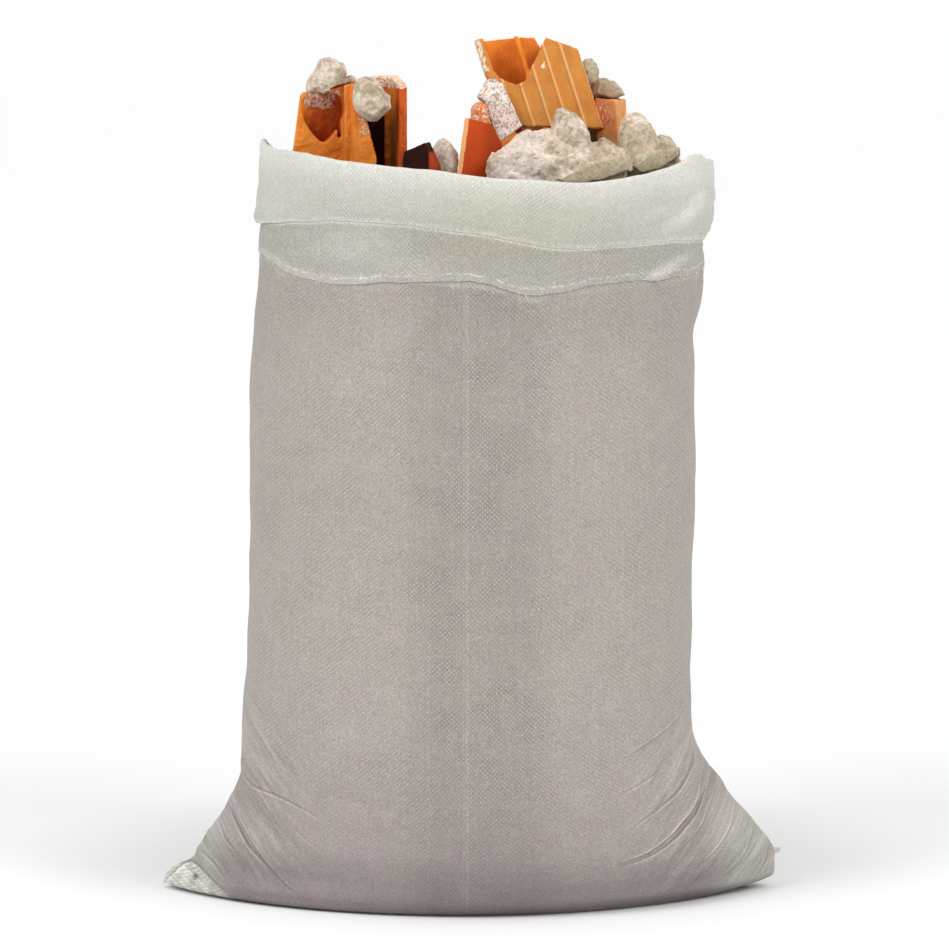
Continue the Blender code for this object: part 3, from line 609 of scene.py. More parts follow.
    # Pale lines up the middle, the bottom seam with its stitches, and the tail's hole.
    shade = (
        shade * (1 + 0.18 * lines)
        * (1 + 0.20 * seam)
        * (1 - 0.45 * seam * stitch)
        * (1 - 0.85 * f.attribute("hole"))
    )
    # The light's fall with height, painted shade at the foot, and painted light and shade on the
    # pleats at the corners.
    shade = (
        shade * (1.03 - 0.08 * height.band(0.12, 0.42) - single * 0.085 * height.band(0.50, 0.59))
        * (1 - (1 - 0.8 * f.attribute("hem")) * (
            (0.25 - 0.13 * ear_tip) * height.band(0.075, 0.020)
            + 0.22 * height.band(0.020, 0.002)))
        * (1 + 0.19 * f.attribute("pleat"))
        * (1 + 0.75 * f.attribute("ear") * (strands - 0.5))
    )
    # A painted highlight along each crease and painted shade beside it.
    for layer in LAYERS:
        at, plain = f.attribute(f"fold_at_{layer}"), f.attribute(f"fold_{layer}")
        light = abs(at).band(0.0014, 0.0003)
        dark = abs(at - 0.0020).band(0.0017, 0.0004)
        shade = shade * (1 + plain * (0.36 * light - 0.32 * dark))
    return f.finished(
        f.scaled(colour, shade), 0.52 + 0.12 * tone, hump + 0.25 * tone, 0.0002, 0.5, 0.35)


def thread_finish():
    """Single frayed tape fibres, whiter than the cloth."""
    f = Finish("frayed_thread")
    tone = f.noise(f.place(), 0.004, 2.0)
    colour = f.mix(tone.band(0.3, 0.7), (0.62, 0.60, 0.54), (0.86, 0.86, 0.82))
    return f.finished(colour, 0.45, tone, 0.0001, 0.5, 0.4)


def clay_finish(settings):
    """Fired hollow-block clay: streaks along the pressing, pores, pale dust on broken edges."""
    f = Finish("fired_clay")
    grain = f.attribute("grain", "Vector")
    streaks = f.noise(f.stretched(grain, (1, 1, 0.06)), 0.0020, 3.0, 0.6)
    patches = f.noise(grain, 0.024, 4.0, 0.6)
    fine = f.noise(grain, 0.0012, 2.0, 0.7)
    pores = f.cells(grain, 0.0045).band(0.16, 0.06) * f.noise(grain, 0.012).band(0.45, 0.60)
    film = f.noise(grain, 0.016, 5.0, 0.65).band(0.54, 0.72)
    edge, hollow = f.attribute("edge"), f.attribute("hollow")
    flecks = f.noise(grain, 0.0024, 3.0, 0.7)
    crust = (f.attribute("crust") * 0.26 + flecks).band(0.70, 0.80)
    dust = (edge * 1.5 + patches - 0.70).band(0.0, 0.9) * (1 - 0.5 * hollow) * 0.8
    tone = (streaks * 0.28 + patches * 0.72).band(0.34, 0.64)
    colour = f.mix(tone, settings.clay_colour, settings.clay_light_colour)
    colour = f.mix((0.50 + 0.50 * film) * f.attribute("film"), colour, (0.285, 0.200, 0.067))
    # Painted highlights on the large block's ribs and on the centre shard's lit side.
    colour = f.mix(f.attribute("rib") * 0.70, colour, (0.86, 0.54, 0.25))
    # Painted shade: hollows and shaded faces turn deep red, and the shade below darkens them
    # towards black.
    colour = f.mix(hollow.band(0.05, 0.80), colour, (0.52, 0.064, 0.010))
    colour = f.mix(dust, colour, (0.78, 0.48, 0.26))
    colour = f.mix(crust * 0.85, colour, (0.80, 0.66, 0.52))
    shade = (0.90 + 0.20 * fine) * (1 - 0.45 * pores) * (
        1 - 0.30 * hollow.band(0.70, 1.0) - 0.66 * hollow.band(1.0, 1.35))
    relief = streaks * 0.5 + fine * 0.35 - pores * 1.2 + patches * 0.4 + crust * 0.8
    return f.finished(
        f.scaled(colour, shade), 0.74 + 0.18 * dust, relief, 0.0006, 0.8, 0.15)


def mortar_finish(settings):
    """Crumbly lime mortar: sand grains, pinkish clay dust, brick specks, greenish grey on some
    lumps, and painted light and shade: greenish grey on the beds' fronts, shade in concave parts,
    light on the front chunk's left facet.
    """
    f = Finish("old_mortar")
    place = f.place()
    patches = f.noise(place, 0.015, 4.0, 0.6)
    sand = f.noise(place, 0.0014, 2.0, 0.7)
    grains = f.cell_value(place, 0.0024)
    pits = f.cells(place, 0.006).band(0.22, 0.06)
    blush = f.noise(place, 0.016, 3.0, 0.6).band(0.50, 0.66)
    specks = (f.cell_value(place, 0.0038) + 0.3 * f.noise(place, 0.020, 2.0)).band(1.10, 1.15)
    edge, deep, bed = f.attribute("edge"), f.attribute("deep"), f.attribute("bed")
    colour = f.mix(patches.band(0.38, 0.60), (0.36, 0.295, 0.205), settings.mortar_colour)
    colour = f.mix(blush * 0.40, colour, (0.62, 0.475, 0.385))
    # Painted shade in greenish grey on the beds' fronts, and greenish grey on some lumps.
    colour = f.mix(bed * 0.90, colour, (0.435, 0.365, 0.250))
    # Pits, painted shade in the concave parts, and darker back lumps.
    colour = f.mix(deep * 0.65, colour, (0.26, 0.22, 0.135))
    colour = f.mix(edge.band(0.35, 1.0) * 0.35, colour, (0.76, 0.68, 0.60))
    # The front chunk's broad lit facet at its left gets painted light, and the lumps are brownest
    # low at the right.
    x, _, z = place.split()
    pale = abs(x - 0.048).band(0.035, 0.010)
    brown = x.band(0.108, 0.128) * z.band(0.757, 0.735)
    colour = f.mix(pale * 0.5, colour, (0.70, 0.61, 0.57))
    colour = f.mix(brown * 0.5, colour, (0.40, 0.33, 0.215))
    colour = f.mix(specks * 0.5, colour, (0.60, 0.30, 0.14))
    shade = (0.60 + 0.80 * sand) * (0.84 + 0.32 * grains) * (1 - 0.35 * pits)
    relief = sand * 0.6 + grains * 0.35 - pits * 0.8 + patches
    return f.finished(f.scaled(colour, shade), 0.93, relief, 0.0009, 0.8, 0.2)


def plaster_finish(settings):
    """White plaster with clay and sand specks."""
    f = Finish("speckled_plaster")
    place = f.place()
    z = place.split()[2]
    chance = f.cell_value(place, 0.0017)
    sand = f.noise(place, 0.0014, 2.0, 0.7)
    patches = f.noise(place, 0.006, 3.0, 0.6)
    low = z.band(0.800, 0.780)
    specks = (chance + low * 0.08 + patches * 0.30).band(1.00, 1.05)
    grey = (1 - chance + (0.6 - patches) * 0.4).band(0.86, 0.92)
    colour = f.mix(low * 0.25, settings.plaster_colour, (0.66, 0.57, 0.52))
    colour = f.mix(specks * 0.8, colour, (0.52, 0.25, 0.16))
    colour = f.mix(grey * 0.8, colour, (0.28, 0.25, 0.22))
    shade = (0.62 + 0.76 * sand) * (0.80 + 0.4 * patches)
    return f.finished(f.scaled(colour, shade), 0.92, sand + patches, 0.0009, 0.8, 0.2)


def heap_finish():
    """Loose mixed rubble under the larger pieces."""
    f = Finish("loose_rubble")
    place = f.place()
    kind = f.cell_value(place, 0.020)
    sand = f.noise(place, 0.002, 3.0, 0.7)
    patches = f.noise(place, 0.012, 4.0, 0.6)
    colour = f.mix(patches.band(0.3, 0.7), (0.33, 0.27, 0.22), (0.50, 0.42, 0.35))
    colour = f.mix(kind.band(0.62, 0.66) * 0.8, colour, (0.52, 0.20, 0.07))
    shade = 0.75 + 0.5 * sand
    return f.finished(f.scaled(colour, shade), 0.95, sand + patches, 0.0012, 0.9, 0.15)


# Numbers on meshes


def read(items, field, width):
    values = np.empty(len(items) * width, np.float32)
    items.foreach_get(field, values)
    return values.reshape(-1, width).astype(float) if width > 1 else values.astype(float)


def write_places(mesh, places):
    mesh.vertices.foreach_set("co", places.astype(np.float32).ravel())
    mesh.update()


def add_attribute(mesh, name, values):
    kind = "FLOAT_VECTOR" if values.ndim == 2 else "FLOAT"
    layer = mesh.attributes.new(name, kind, "POINT")
    field = "vector" if values.ndim == 2 else "value"
    layer.data.foreach_set(field, values.astype(np.float32).ravel())


def steps_to(end, count):
    """Count even steps from 0 up to end, without the 0 itself."""
    return np.linspace(0, end, count + 1)[1:]


def smooth_step(values, low, high):
    share = np.clip((values - low) / (high - low), 0, 1)
    return share * share * (3 - 2 * share)


def hill(away, width):
    """A smooth hill of height 1 and about that half width."""
    return np.exp(-((away / width) ** 2))


def bumps(points, size, seed):
    """Smooth noise from -1 to 1 with bumps about size across."""
    count = 20
    lattice = np.random.default_rng(seed).uniform(-1, 1, (count, count, count))
    at = points / size + 64.37
    cell = np.floor(at).astype(int)
    part = at - cell
    part = part * part * (3 - 2 * part)
    total = np.zeros(len(points))
    for corner in itertools.product((0, 1), repeat=3):
        weight = np.prod(np.where(corner, part, 1 - part), axis=1)
        i, j, k = ((cell + corner) % count).T
        total += weight * lattice[i, j, k]
    return total


def facets(points, size, seed):
    """Random flat planes, one for each of the cells about size across that fill space."""
    count = 16
    rng = np.random.default_rng(seed)
    centres = rng.uniform(0.1, 0.9, (count, count, count, 3))
    tilts = rng.normal(0, 0.9, (count, count, count, 3))
    offsets = rng.uniform(-0.3, 0.3, (count, count, count))
    at = points / size + 40.3
    cell = np.floor(at).astype(int)
    nearest, found = np.full(len(points), np.inf), np.zeros(len(points))
    for step in itertools.product((-1, 0, 1), repeat=3):
        i, j, k = ((cell + step) % count).T
        away = at - (cell + step) - centres[i, j, k]
        distance = (away ** 2).sum(1)
        closer = distance < nearest
        nearest[closer] = distance[closer]
        plane = offsets[i, j, k] + (away * tilts[i, j, k]).sum(1)
        found[closer] = plane[closer]
    return found


def neighbour_means(mesh, values, rounds):
    """Values averaged over each vertex's neighbours, rounds times."""
    ends = read(mesh.edges, "vertices", 2).astype(int)
    count = len(mesh.vertices)
    share = np.maximum(np.bincount(ends.ravel(), minlength=count), 1)
    columns = values.reshape(count, -1).copy()
    for _ in range(rounds):
        for k in range(columns.shape[1]):
            total = np.bincount(ends[:, 0], columns[ends[:, 1], k], count)
            total += np.bincount(ends[:, 1], columns[ends[:, 0], k], count)
            columns[:, k] = 0.5 * columns[:, k] + 0.5 * total / share
    return columns.reshape(values.shape)


# Pieces


def add_piece(name, mesh, material, replaces=(), smooth=True):
    """Makes a piece of a mesh that already has its place, and lets it ride with the sack."""
    mesh.name = name
    mesh.materials.clear()
    mesh.materials.append(material)
    if smooth:
        mesh.shade_smooth()
    piece = bpy.data.objects.new(name, mesh)
    bpy.context.scene.collection.objects.link(piece)
    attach(piece, BODY)
    if replaces:
        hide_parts(*replaces)
    return piece


def to_mesh(bm, name="work"):
    mesh = bpy.data.meshes.new(name)
    bm.to_mesh(mesh)
    bm.free()
    return mesh


def merge_close(mesh, distance):
    """Joins the vertices that lie within distance of each other."""
    bm = bmesh.new()
    bm.from_mesh(mesh)
    bmesh.ops.remove_doubles(bm, verts=bm.verts, dist=distance)
    bm.to_mesh(mesh)
    bm.free()


def remeshed(bm, voxel):
    """The solid as an even mesh of small squares."""
    helper = bpy.data.objects.new("work", to_mesh(bm))
    bpy.context.scene.collection.objects.link(helper)
    modifier = helper.modifiers.new("even", "REMESH")
    modifier.mode = "VOXEL"
    modifier.voxel_size = voxel
    graph = bpy.context.evaluated_depsgraph_get()
    mesh = bpy.data.meshes.new_from_object(helper.evaluated_get(graph))
    bpy.data.objects.remove(helper)
    return mesh


def node_copy(node):
    """A merged copy of a CAD node."""
    bm = bmesh.new()
    bm.from_mesh(frame["nodes"][node].data)
    bmesh.ops.remove_doubles(bm, verts=bm.verts, dist=1e-5)
    return bm


def placed(position, lean, tip, turn):
    return (
        Matrix.Translation(position)
        @ Matrix.Rotation(math.radians(turn), 4, "Z")
        @ Matrix.Rotation(math.radians(tip), 4, "X")
        @ Matrix.Rotation(math.radians(lean), 4, "Y")
    )


def crust_on(node, design, places, seed):
    """How much pale dust lies on a clay piece at each point, from 0 to 1."""
    crust = np.zeros(len(places))
    ragged = 0.0016 * bumps(places, 0.0035, seed) + 0.0010 * bumps(places, 0.0014, seed + 1)
    for low_x, high_x, low_z, high_z, amount in CRUSTS.get(node, ()):
        x, z = design[:, 0], design[:, 2]
        inside = np.minimum(
            np.minimum(x - low_x, high_x - x), np.minimum(z - low_z, high_z - z))
        crust = np.maximum(crust, amount * smooth_step(inside + ragged, -0.0012, 0.0012))
    return crust


def in_design(points, node):
    """Points in the frame in which a clay piece was designed."""
    turned = np.array(placed(*CLAY_PLACES[node][:4]).inverted())
    return points @ turned[:3, :3].T + turned[:3, 3]


def tree_of(objects):
    """The faces of some objects as one tree, for rays to hit."""
    verts, faces = [], []
    for shown in objects:
        start = len(verts)
        verts += [v.co.copy() for v in shown.data.vertices]
        faces += [[start + k for k in p.vertices] for p in shown.data.polygons]
    return BVHTree.FromPolygons(verts, faces)


def enclosed(mesh, places, normals, tree, seed):
    """How much rubble stands close round each point, from 0 to 1."""
    rng = np.random.default_rng(seed)
    reach, rays = 0.045, 5
    starts = [Vector(p) for p in places + normals * 0.0012]
    hits = np.zeros(len(places))
    for _ in range(rays):
        away = rng.normal(size=places.shape)
        away = away / np.linalg.norm(away, axis=1, keepdims=True) + normals
        hits += [
            tree.ray_cast(start, Vector(way), reach)[0] is not None
            for start, way in zip(starts, away)
        ]
    return neighbour_means(mesh, hits / rays, 12)


def edges_of(mesh, places, voxel, rounds):
    """How convex the surface is at each vertex, from 0 on a face to 1 on a sharp edge."""
    flat = neighbour_means(mesh, places, rounds)
    normals = read(mesh.vertex_normals, "vector", 3)
    bulge = np.einsum("ij,ij->i", normals, places - flat) / voxel
    return flat, normals, bulge


# Cloth


def cubic(knots, values, slopes, at):
    """Cubic through values with given slopes at the knots."""
    i = np.clip(np.searchsorted(knots, at, side="right") - 1, 0, len(knots) - 2)
    span = knots[i + 1] - knots[i]
    t = (at - knots[i]) / span
    t2, t3 = t * t, t * t * t
    return (
        (2 * t3 - 3 * t2 + 1) * values[i]
        + (t3 - 2 * t2 + t) * span * slopes[i]
        + (3 * t2 - 2 * t3) * values[i + 1]
        + (t3 - t2) * span * slopes[i + 1]
    )


def section_values(height):
    """Left reach, right reach, half depth and pinch at each height, with no overshoot."""
    knots = SECTIONS[:, 0]
    height = np.clip(height, knots[0], knots[-1])
    found = []
    for values in SECTIONS[:, 1:].T:
        chords = np.diff(values) / np.diff(knots)
        slopes = np.concatenate((chords[:1], np.zeros(len(knots) - 2), chords[-1:]))
        both = chords[:-1] * chords[1:] > 0
        safe = np.where(both, chords[:-1] + chords[1:], 1)
        slopes[1:-1] = np.where(both, 2 * chords[:-1] * chords[1:] / safe, 0)
        found.append(cubic(knots, values, slopes, height))
    return found


def edge_height(rows, angle):
    """Height of a cuff edge at each angle in degrees, smooth all the way round."""
    table = np.array(rows, float)
    knots = np.concatenate([table[:, 0] + turn for turn in (-360, 0, 360)])
    values = np.tile(table[:, 1], 3)
    slopes = np.gradient(values, knots)
    return cubic(knots, values, slopes, angle % 360)


def surface(height, angle, outset):
    """Points of the sack's surface, moved out by outset."""
    left, right, depth, pinch = section_values(height)
    cosine, sine = np.cos(np.radians(angle)), np.sin(np.radians(angle))
    x = (right - left) / 2 + ((right + left) / 2 + outset) * cosine
    y = np.sign(sine) * np.abs(sine) ** pinch * (depth + outset)
    return np.stack((x, y, height), axis=-1)


def angles_at(height, shares):
    """Angles that divide each quarter of the section evenly by length of cloth, so that the
    tape at the front's middle runs straight up."""
    angles = np.empty(len(shares))
    for first, chosen in ((180, shares <= 0.5), (360, shares > 0.5)):
        fine = np.linspace(first, first + 180, 1201)
        line = surface(np.full(len(fine), height), fine, 0.0)
        steps = np.linalg.norm(np.diff(line, axis=0), axis=1)
        length = np.concatenate(([0], np.cumsum(steps)))
        ahead = 1 if first == 180 else -1
        middle = np.interp(ahead * CENTRE_X, ahead * line[:, 0], length)
        part = shares[chosen] - (0 if first == 180 else 0.5)
        wanted = np.interp(part, (0, 0.25, 0.5), (0, middle, length[-1]))
        angles[chosen] = np.interp(wanted, length, fine)
    return angles


def crease_line(points):
    """Many points along a smooth curve through a crease's guide points."""
    points = np.array(points)
    at = np.arange(len(points), dtype=float)
    fine = np.linspace(0, at[-1], 14 * len(points))
    line = np.stack([
        cubic(at, points[:, k], np.gradient(points[:, k]), fine) for k in (0, 1)
    ], axis=1)
    for _ in range(60):
        line[1:-1] = (line[:-2] + line[1:-1] + line[2:]) / 3
    return line


def no_creases(count):
    """What crease_relief gives for points that lie near no crease."""
    layers = len(LAYERS)
    return np.zeros(count), np.full((layers, count), 2 * LINE_REACH), np.zeros((layers, count))


def crease_relief(flat, creases):
    """Height of the creases at points (x, z), and for each layer how far a point lies from its
    nearest crease, the side of its painted shade positive, and how plain that crease's painted
    lines are there."""
    relief, fold_at, fold = no_creases(len(flat))
    for layer, dark_side, tall, wide, plain, points in creases:
        line = crease_line(points)
        low, high = line.min(0) - 0.02, line.max(0) + 0.02
        near = np.nonzero(((flat > low) & (flat < high)).all(1))[0]
        if not len(near):
            continue
        away = flat[near, None, :] - line[None, :, :]
        distance = np.hypot(away[..., 0], away[..., 1])
        nearest = distance.argmin(1)
        rows = np.arange(len(near))
        heading = np.gradient(line, axis=0)[nearest]
        offset = away[rows, nearest]
        side = np.sign(heading[:, 0] * offset[:, 1] - heading[:, 1] * offset[:, 0])
        signed = dark_side * side * distance[rows, nearest]
        share = nearest / (len(line) - 1)
        fade = np.sin(math.pi * np.clip(share * 0.92 + 0.06, 0, 1)) ** 0.6
        up, down = hill(signed, 1.12 * wide), hill(signed - 2.1 * wide, 1.40 * wide)
        relief[near] += 0.88 * tall * fade * (up - 0.50 * down)
        closer = np.abs(signed) < np.abs(fold_at[layer, near])
        chosen = near[closer]
        fold_at[layer, chosen] = signed[closer]
        reach = smooth_step(np.abs(signed), 1.6 * LINE_REACH, LINE_REACH)
        fold[layer, chosen] = (plain * fade * reach)[closer]
    return relief, fold_at, fold


def back_creases(creases, seed):
    """Creases of the back: the front's, mirrored and a little shifted."""
    rng = random.Random(seed)
    made = []
    for layer, dark_side, tall, wide, plain, points in creases:
        shift = rng.uniform(-0.004, 0.006)
        turned = [(-x * rng.uniform(0.985, 1.0), max(0.008, z + shift)) for x, z in points]
        made.append((
            layer, -dark_side, tall * rng.uniform(0.7, 1.1), wide, plain * 0.8, turned))
    return made


class ClothShape:
    """The sack's one sheet of cloth as a grid: columns round the tube, rows from the bottom
    seam over the wall, the rim and the cuff's two folds to the raw edge."""

    columns = 400
    rim_radius, fold_radius, inner_radius = 0.0032, 0.0005, 0.0005
    fold_outset, behind_outset = 0.0020, 0.0009
    hidden_top = 0.010
    floor_gap = 0.0006
    seam_start, seam_length, underside_rows = -0.292, 0.576, 6
    rim_rows, upper_rows, fold_rows, hidden_rows, lower_rows = 9, 24, 6, 4, 22

    def __init__(self, settings):
        n = np.linspace(0, 1, self.columns + 1)
        self.shares = (
            n - 0.50 * np.sin(4 * math.pi * n) / (4 * math.pi)
            + 0.10 * np.sin(8 * math.pi * n) / (8 * math.pi))
        self.settings = settings
        self.rows = []
        self.marks = {}
        self.drawn = {}
        self.upper_angles = angles_at(0.66, self.shares)
        self.around = self.ring_points(self.upper_angles)
        self.rim = edge_height(RIM, self.upper_angles) + self.ripple(0.0012, 0.030, 1)
        self.fold = edge_height(FOLD_EDGE, self.upper_angles) + self.ripple(0.0012, 0.024, 2)
        self.raw = edge_height(RAW_EDGE, self.upper_angles) + self.ripple(0.0014, 0.016, 3)

    @staticmethod
    def ring_points(angles):
        turn = np.radians(angles)
        return 0.2 * np.stack((np.cos(turn), np.sin(turn), np.zeros(len(turn))), axis=1)

    def ripple(self, depth, size, seed):
        return depth * (
            bumps(self.around, size, seed) + 0.5 * bumps(self.around, size / 2.6, seed + 40))

    def add_row(self, height, angle, outset, cover, painted_glow=0.0):
        height = np.broadcast_to(height, angle.shape)
        points = surface(height, angle, np.broadcast_to(outset, angle.shape))
        self.rows.append((points, np.broadcast_to(cover, angle.shape),
                          np.broadcast_to(painted_glow, angle.shape)))

    def add_underside(self):
        """From the bottom seam, which lies across the floor, out to the floor's edge."""
        outline = surface(np.zeros(self.columns + 1), angles_at(0.0, self.shares), 0.0)
        half = np.where(self.shares <= 0.5, self.shares * 2, 2 - self.shares * 2)
        seam = np.stack((
            self.seam_start + half * self.seam_length, np.zeros(len(half)),
            np.zeros(len(half))), axis=1)
        for share in np.linspace(0, 1, self.underside_rows + 1)[:-1]:
            points = seam + (outline - seam) * share
            points[:, 2] = self.floor_gap
            self.rows.append((points, np.zeros(len(half)), np.zeros(len(half))))

    def add_wall(self):
        """From the floor up to the rim, with the closest rows at the foot and its creases."""
        top = 0.705
        heights = np.concatenate((
            (0.0, 0.0012, 0.0026, 0.0042, 0.0058, 0.0076), np.arange(0.0094, 0.155, 0.0018),
            np.arange(0.1560, 0.198, 0.0040), np.arange(0.2000, top, 0.0100)))
        for nominal in heights:
            t = nominal / top
            height = t * (self.rim - self.rim_radius)
            height = np.maximum(height, self.floor_gap)
            covered = smooth_step(height, self.raw - 0.004, self.raw + 0.004)
            self.add_row(height, angles_at(nominal, self.shares), 0.0, covered)
        self.add_row(self.rim - self.rim_radius, self.upper_angles, 0.0, 1.0)

    def add_cuff(self):
        """The rim, the upper band, its fold, the way back up behind it, and the lower band."""
        angle, r, f, b = self.upper_angles, self.rim_radius, self.fold_radius, self.inner_radius
        for turn in steps_to(math.pi, self.rim_rows):
            self.add_row(
                self.rim - r + r * math.sin(turn), angle, r * (1 - math.cos(turn)), 1.0,
                RIM_PAINTED_GLOW[1][0])
        left = hill(angle - 180, 24) + hill(angle - 540, 24)
        right = hill(angle - 360, 20)
        puff = 0.0014 + 0.0010 * bumps(self.around, 0.05, 5)
        low = self.fold + f
        for share in steps_to(1, self.upper_rows):
            height = self.rim - r + (low - self.rim + r) * share
            outset = 2 * r + (self.fold_outset - 2 * r) * share ** 2
            outset = outset + puff * math.sin(math.pi * share)
            outset += left * np.interp(share, *LEFT_FLARE) + right * np.interp(share, *RIGHT_FLARE)
            painted_glow = np.interp(share, RIM_PAINTED_GLOW[0], RIM_PAINTED_GLOW[1])
            self.add_row(height, angle, outset, 1.0, painted_glow)
        outer = outset
        # Painted light on the fold's underside, against the fold's shadow.
        for turn in steps_to(math.pi, self.fold_rows):
            self.add_row(
                low - f * math.sin(turn), angle, outer - f + f * math.cos(turn), 1.0,
                painted_glow + 0.6 * math.sin(turn))
        high = self.rim - self.hidden_top
        start = 2 * r - 0.0024
        for share in steps_to(1, self.hidden_rows):
            outset = outer - 2 * f + (start - outer + 2 * f) * share
            self.add_row(low + (high - low) * share, angle, outset, 1.0)
        for turn in steps_to(math.pi, self.hidden_rows):
            self.add_row(high + b * math.sin(turn), angle, start - b + b * math.cos(turn), 1.0)
        behind = self.behind_outset
        for share in steps_to(1, self.hidden_rows):
            outset = start - 2 * b + (behind - start + 2 * b) * share
            self.add_row(high + (low - high) * share, angle, outset, 0.5)
        self.marks["band"] = len(self.rows)
        # Painted light at the lower band's top, against the fold's shadow.
        for share in steps_to(1, self.lower_rows):
            height = low + (self.raw - low) * share
            outset = behind + 0.0009 * math.sin(math.pi * share) + 0.0001 * share
            self.add_row(height, angle, outset, 0.5 - 0.1 * share, 0.30 * max(0, 1 - 10 * share))

    def build(self):
        self.add_underside()
        self.marks["wall"] = len(self.rows)
        self.add_wall()
        self.marks["cuff"] = len(self.rows)
        self.add_cuff()
        self.points, self.cover, self.painted_glow = map(np.array, zip(*self.rows))
        steps = np.linalg.norm(np.diff(self.points, axis=0), axis=2)
        self.lengths = np.vstack((np.zeros(self.columns + 1), np.cumsum(steps, axis=0)))
        self.push_out()
        return self

    def outward(self):
        """Directions out of the sack: the wall's own normals, and level ones on the cuff."""
        across = np.gradient(self.points, axis=1)
        across[:, 0] = across[:, -1] = (across[:, 0] + across[:, -1]) / 2
        up = np.gradient(self.points, axis=0)
        normals = np.cross(across, up)
        sides = self.marks["cuff"]
        scale = np.array((1 / 0.21 ** 2, 1 / 0.15 ** 2, 0))
        normals[sides - 2:] = (self.points[sides - 2:] - (MOUTH_X, 0, 0)) * scale
        return normals / np.maximum(np.linalg.norm(normals, axis=2, keepdims=True), 1e-9)

    def push_out(self):
        """Lumps of the rubble inside, creases at the corners, and waves in the cuff."""
        count = self.columns + 1
        flat = self.points.reshape(-1, 3)
        normals = self.outward().reshape(-1, 3)
        z = flat[:, 2]
        depth = self.settings.lump_depth
        lift = depth * (bumps(flat, 0.085, 21) + 0.45 * bumps(flat, 0.034, 22))
        lift += 0.00035 * bumps(flat * (1, 1, 2.4), 0.022, 23) * smooth_step(z, 0.66, 0.60)
        lift *= smooth_step(z, 0.0, 0.05)
        relief = self.add_creases(flat, count)
        far = np.abs(flat[:, 0])
        across = PLEAT_COSINE * far - PLEAT_SINE * z
        along = PLEAT_SINE * far + PLEAT_COSINE * z
        side = np.sign(flat[:, 0]) + 3 * np.sign(flat[:, 1])
        streaks = np.stack((across + 1.4 * (along - 0.23) ** 2, along * 0.09, side * 0.05), axis=1)
        pleats = bumps(streaks, 0.0042, 31) + 0.6 * bumps(streaks, 0.0090, 32)
        ears = smooth_step(far, 0.13, 0.20) * smooth_step(z, 0.21, 0.14)
        ears *= smooth_step(z, 0.004, 0.03) * (np.arange(len(flat)) < self.marks["cuff"] * count)
        # The pleats raise the cloth a little, and the material paints them as light and shade.
        self.keep("pleat", pleats * ears)
        self.keep("ear", ears)
        relief *= 0.25 + 0.75 * smooth_step(np.abs(flat[:, 1]), 0.004, 0.022)
        lift += 0.0004 * pleats * ears + relief * smooth_step(z, 0.002, 0.012)
        upper = smooth_step(z, 0.585, 0.64)
        lift += upper * 0.0012 * bumps(flat * (1, 1, 0.55), 0.045, 24)
        lift += upper * 0.0005 * bumps(flat * (1, 1, 0.7), 0.017, 25)
        ends = smooth_step(far, 0.195, 0.222) * upper
        lift += ends * (0.0010 * bumps(flat, 0.0062, 26) + 0.0007 * bumps(flat, 0.013, 27))
        lift = np.maximum(lift, -0.0024)
        moved = flat + normals * lift[:, None]
        moved[:, 2] = np.maximum(moved[:, 2], 0.0004)
        self.points = moved.reshape(self.points.shape)

    def keep(self, name, values):
        """Keeps a number for each of the cloth's points, for the material to draw."""
        self.drawn[name] = values.reshape(self.cover.shape)

    def add_creases(self, flat, count):
        """Height of all creases at the cloth's points; keeps what the material draws of them."""
        row = np.repeat(np.arange(len(self.rows)), count)
        cuff, band = self.marks["cuff"], self.marks["band"]
        parts = (
            (row < cuff, FRONT_CREASES, 11),
            ((row >= cuff) & (row < band), CUFF_CREASES, 12),
            (row >= band, BAND_CREASES, 13),
        )
        relief, fold_at, fold = no_creases(len(flat))
        front = flat[:, 1] <= 0
        for on_part, creases, seed in parts:
            for side, chosen in ((front, creases), (~front, back_creases(creases, seed))):
                here = on_part & side
                got = crease_relief(flat[here][:, (0, 2)], chosen)
                relief[here], fold_at[:, here], fold[:, here] = got
        for layer in LAYERS:
            self.keep(f"fold_at_{layer}", fold_at[layer])
            self.keep(f"fold_{layer}", fold[layer])
        x, y, _ = self.points[-1].T
        plain = np.interp(x, (-0.20, -0.07, 0.03, 0.13, 0.20), (1.0, 0.9, 0.4, 0.4, 0.1))
        hem = np.zeros(self.cover.shape)
        rows = steps_to(1, self.lower_rows)
        hem[band:] = smooth_step(rows, 0.76, 0.88)[:, None] * np.where(y > 0, 0.6, plain) * (
            0.24 + 0.14 * bumps(self.around, 0.011, 34))
        above_raw, above_fold = np.ones(hem.shape), np.ones(hem.shape)
        above_raw[band:] = (1 - rows)[:, None] * (self.fold - self.raw)
        first = cuff + self.rim_rows
        outer = slice(first, first + self.upper_rows)
        share = steps_to(1, self.upper_rows)[:, None]
        above_fold[outer] = (1 - share) * (self.rim - self.fold)
        above_fold[band - 1] = 0
        above_fold[band:] = -rows[:, None] * (self.fold - self.raw)
        self.keep("above_raw", above_raw)
        self.keep("above_fold", above_fold)
        # The hem attribute holds the paler hem strip, the pale tail and the painted highlights.
        self.keep("hem", np.maximum(hem.ravel(), self.highlights_and_tail(flat, front, row)))
        return relief

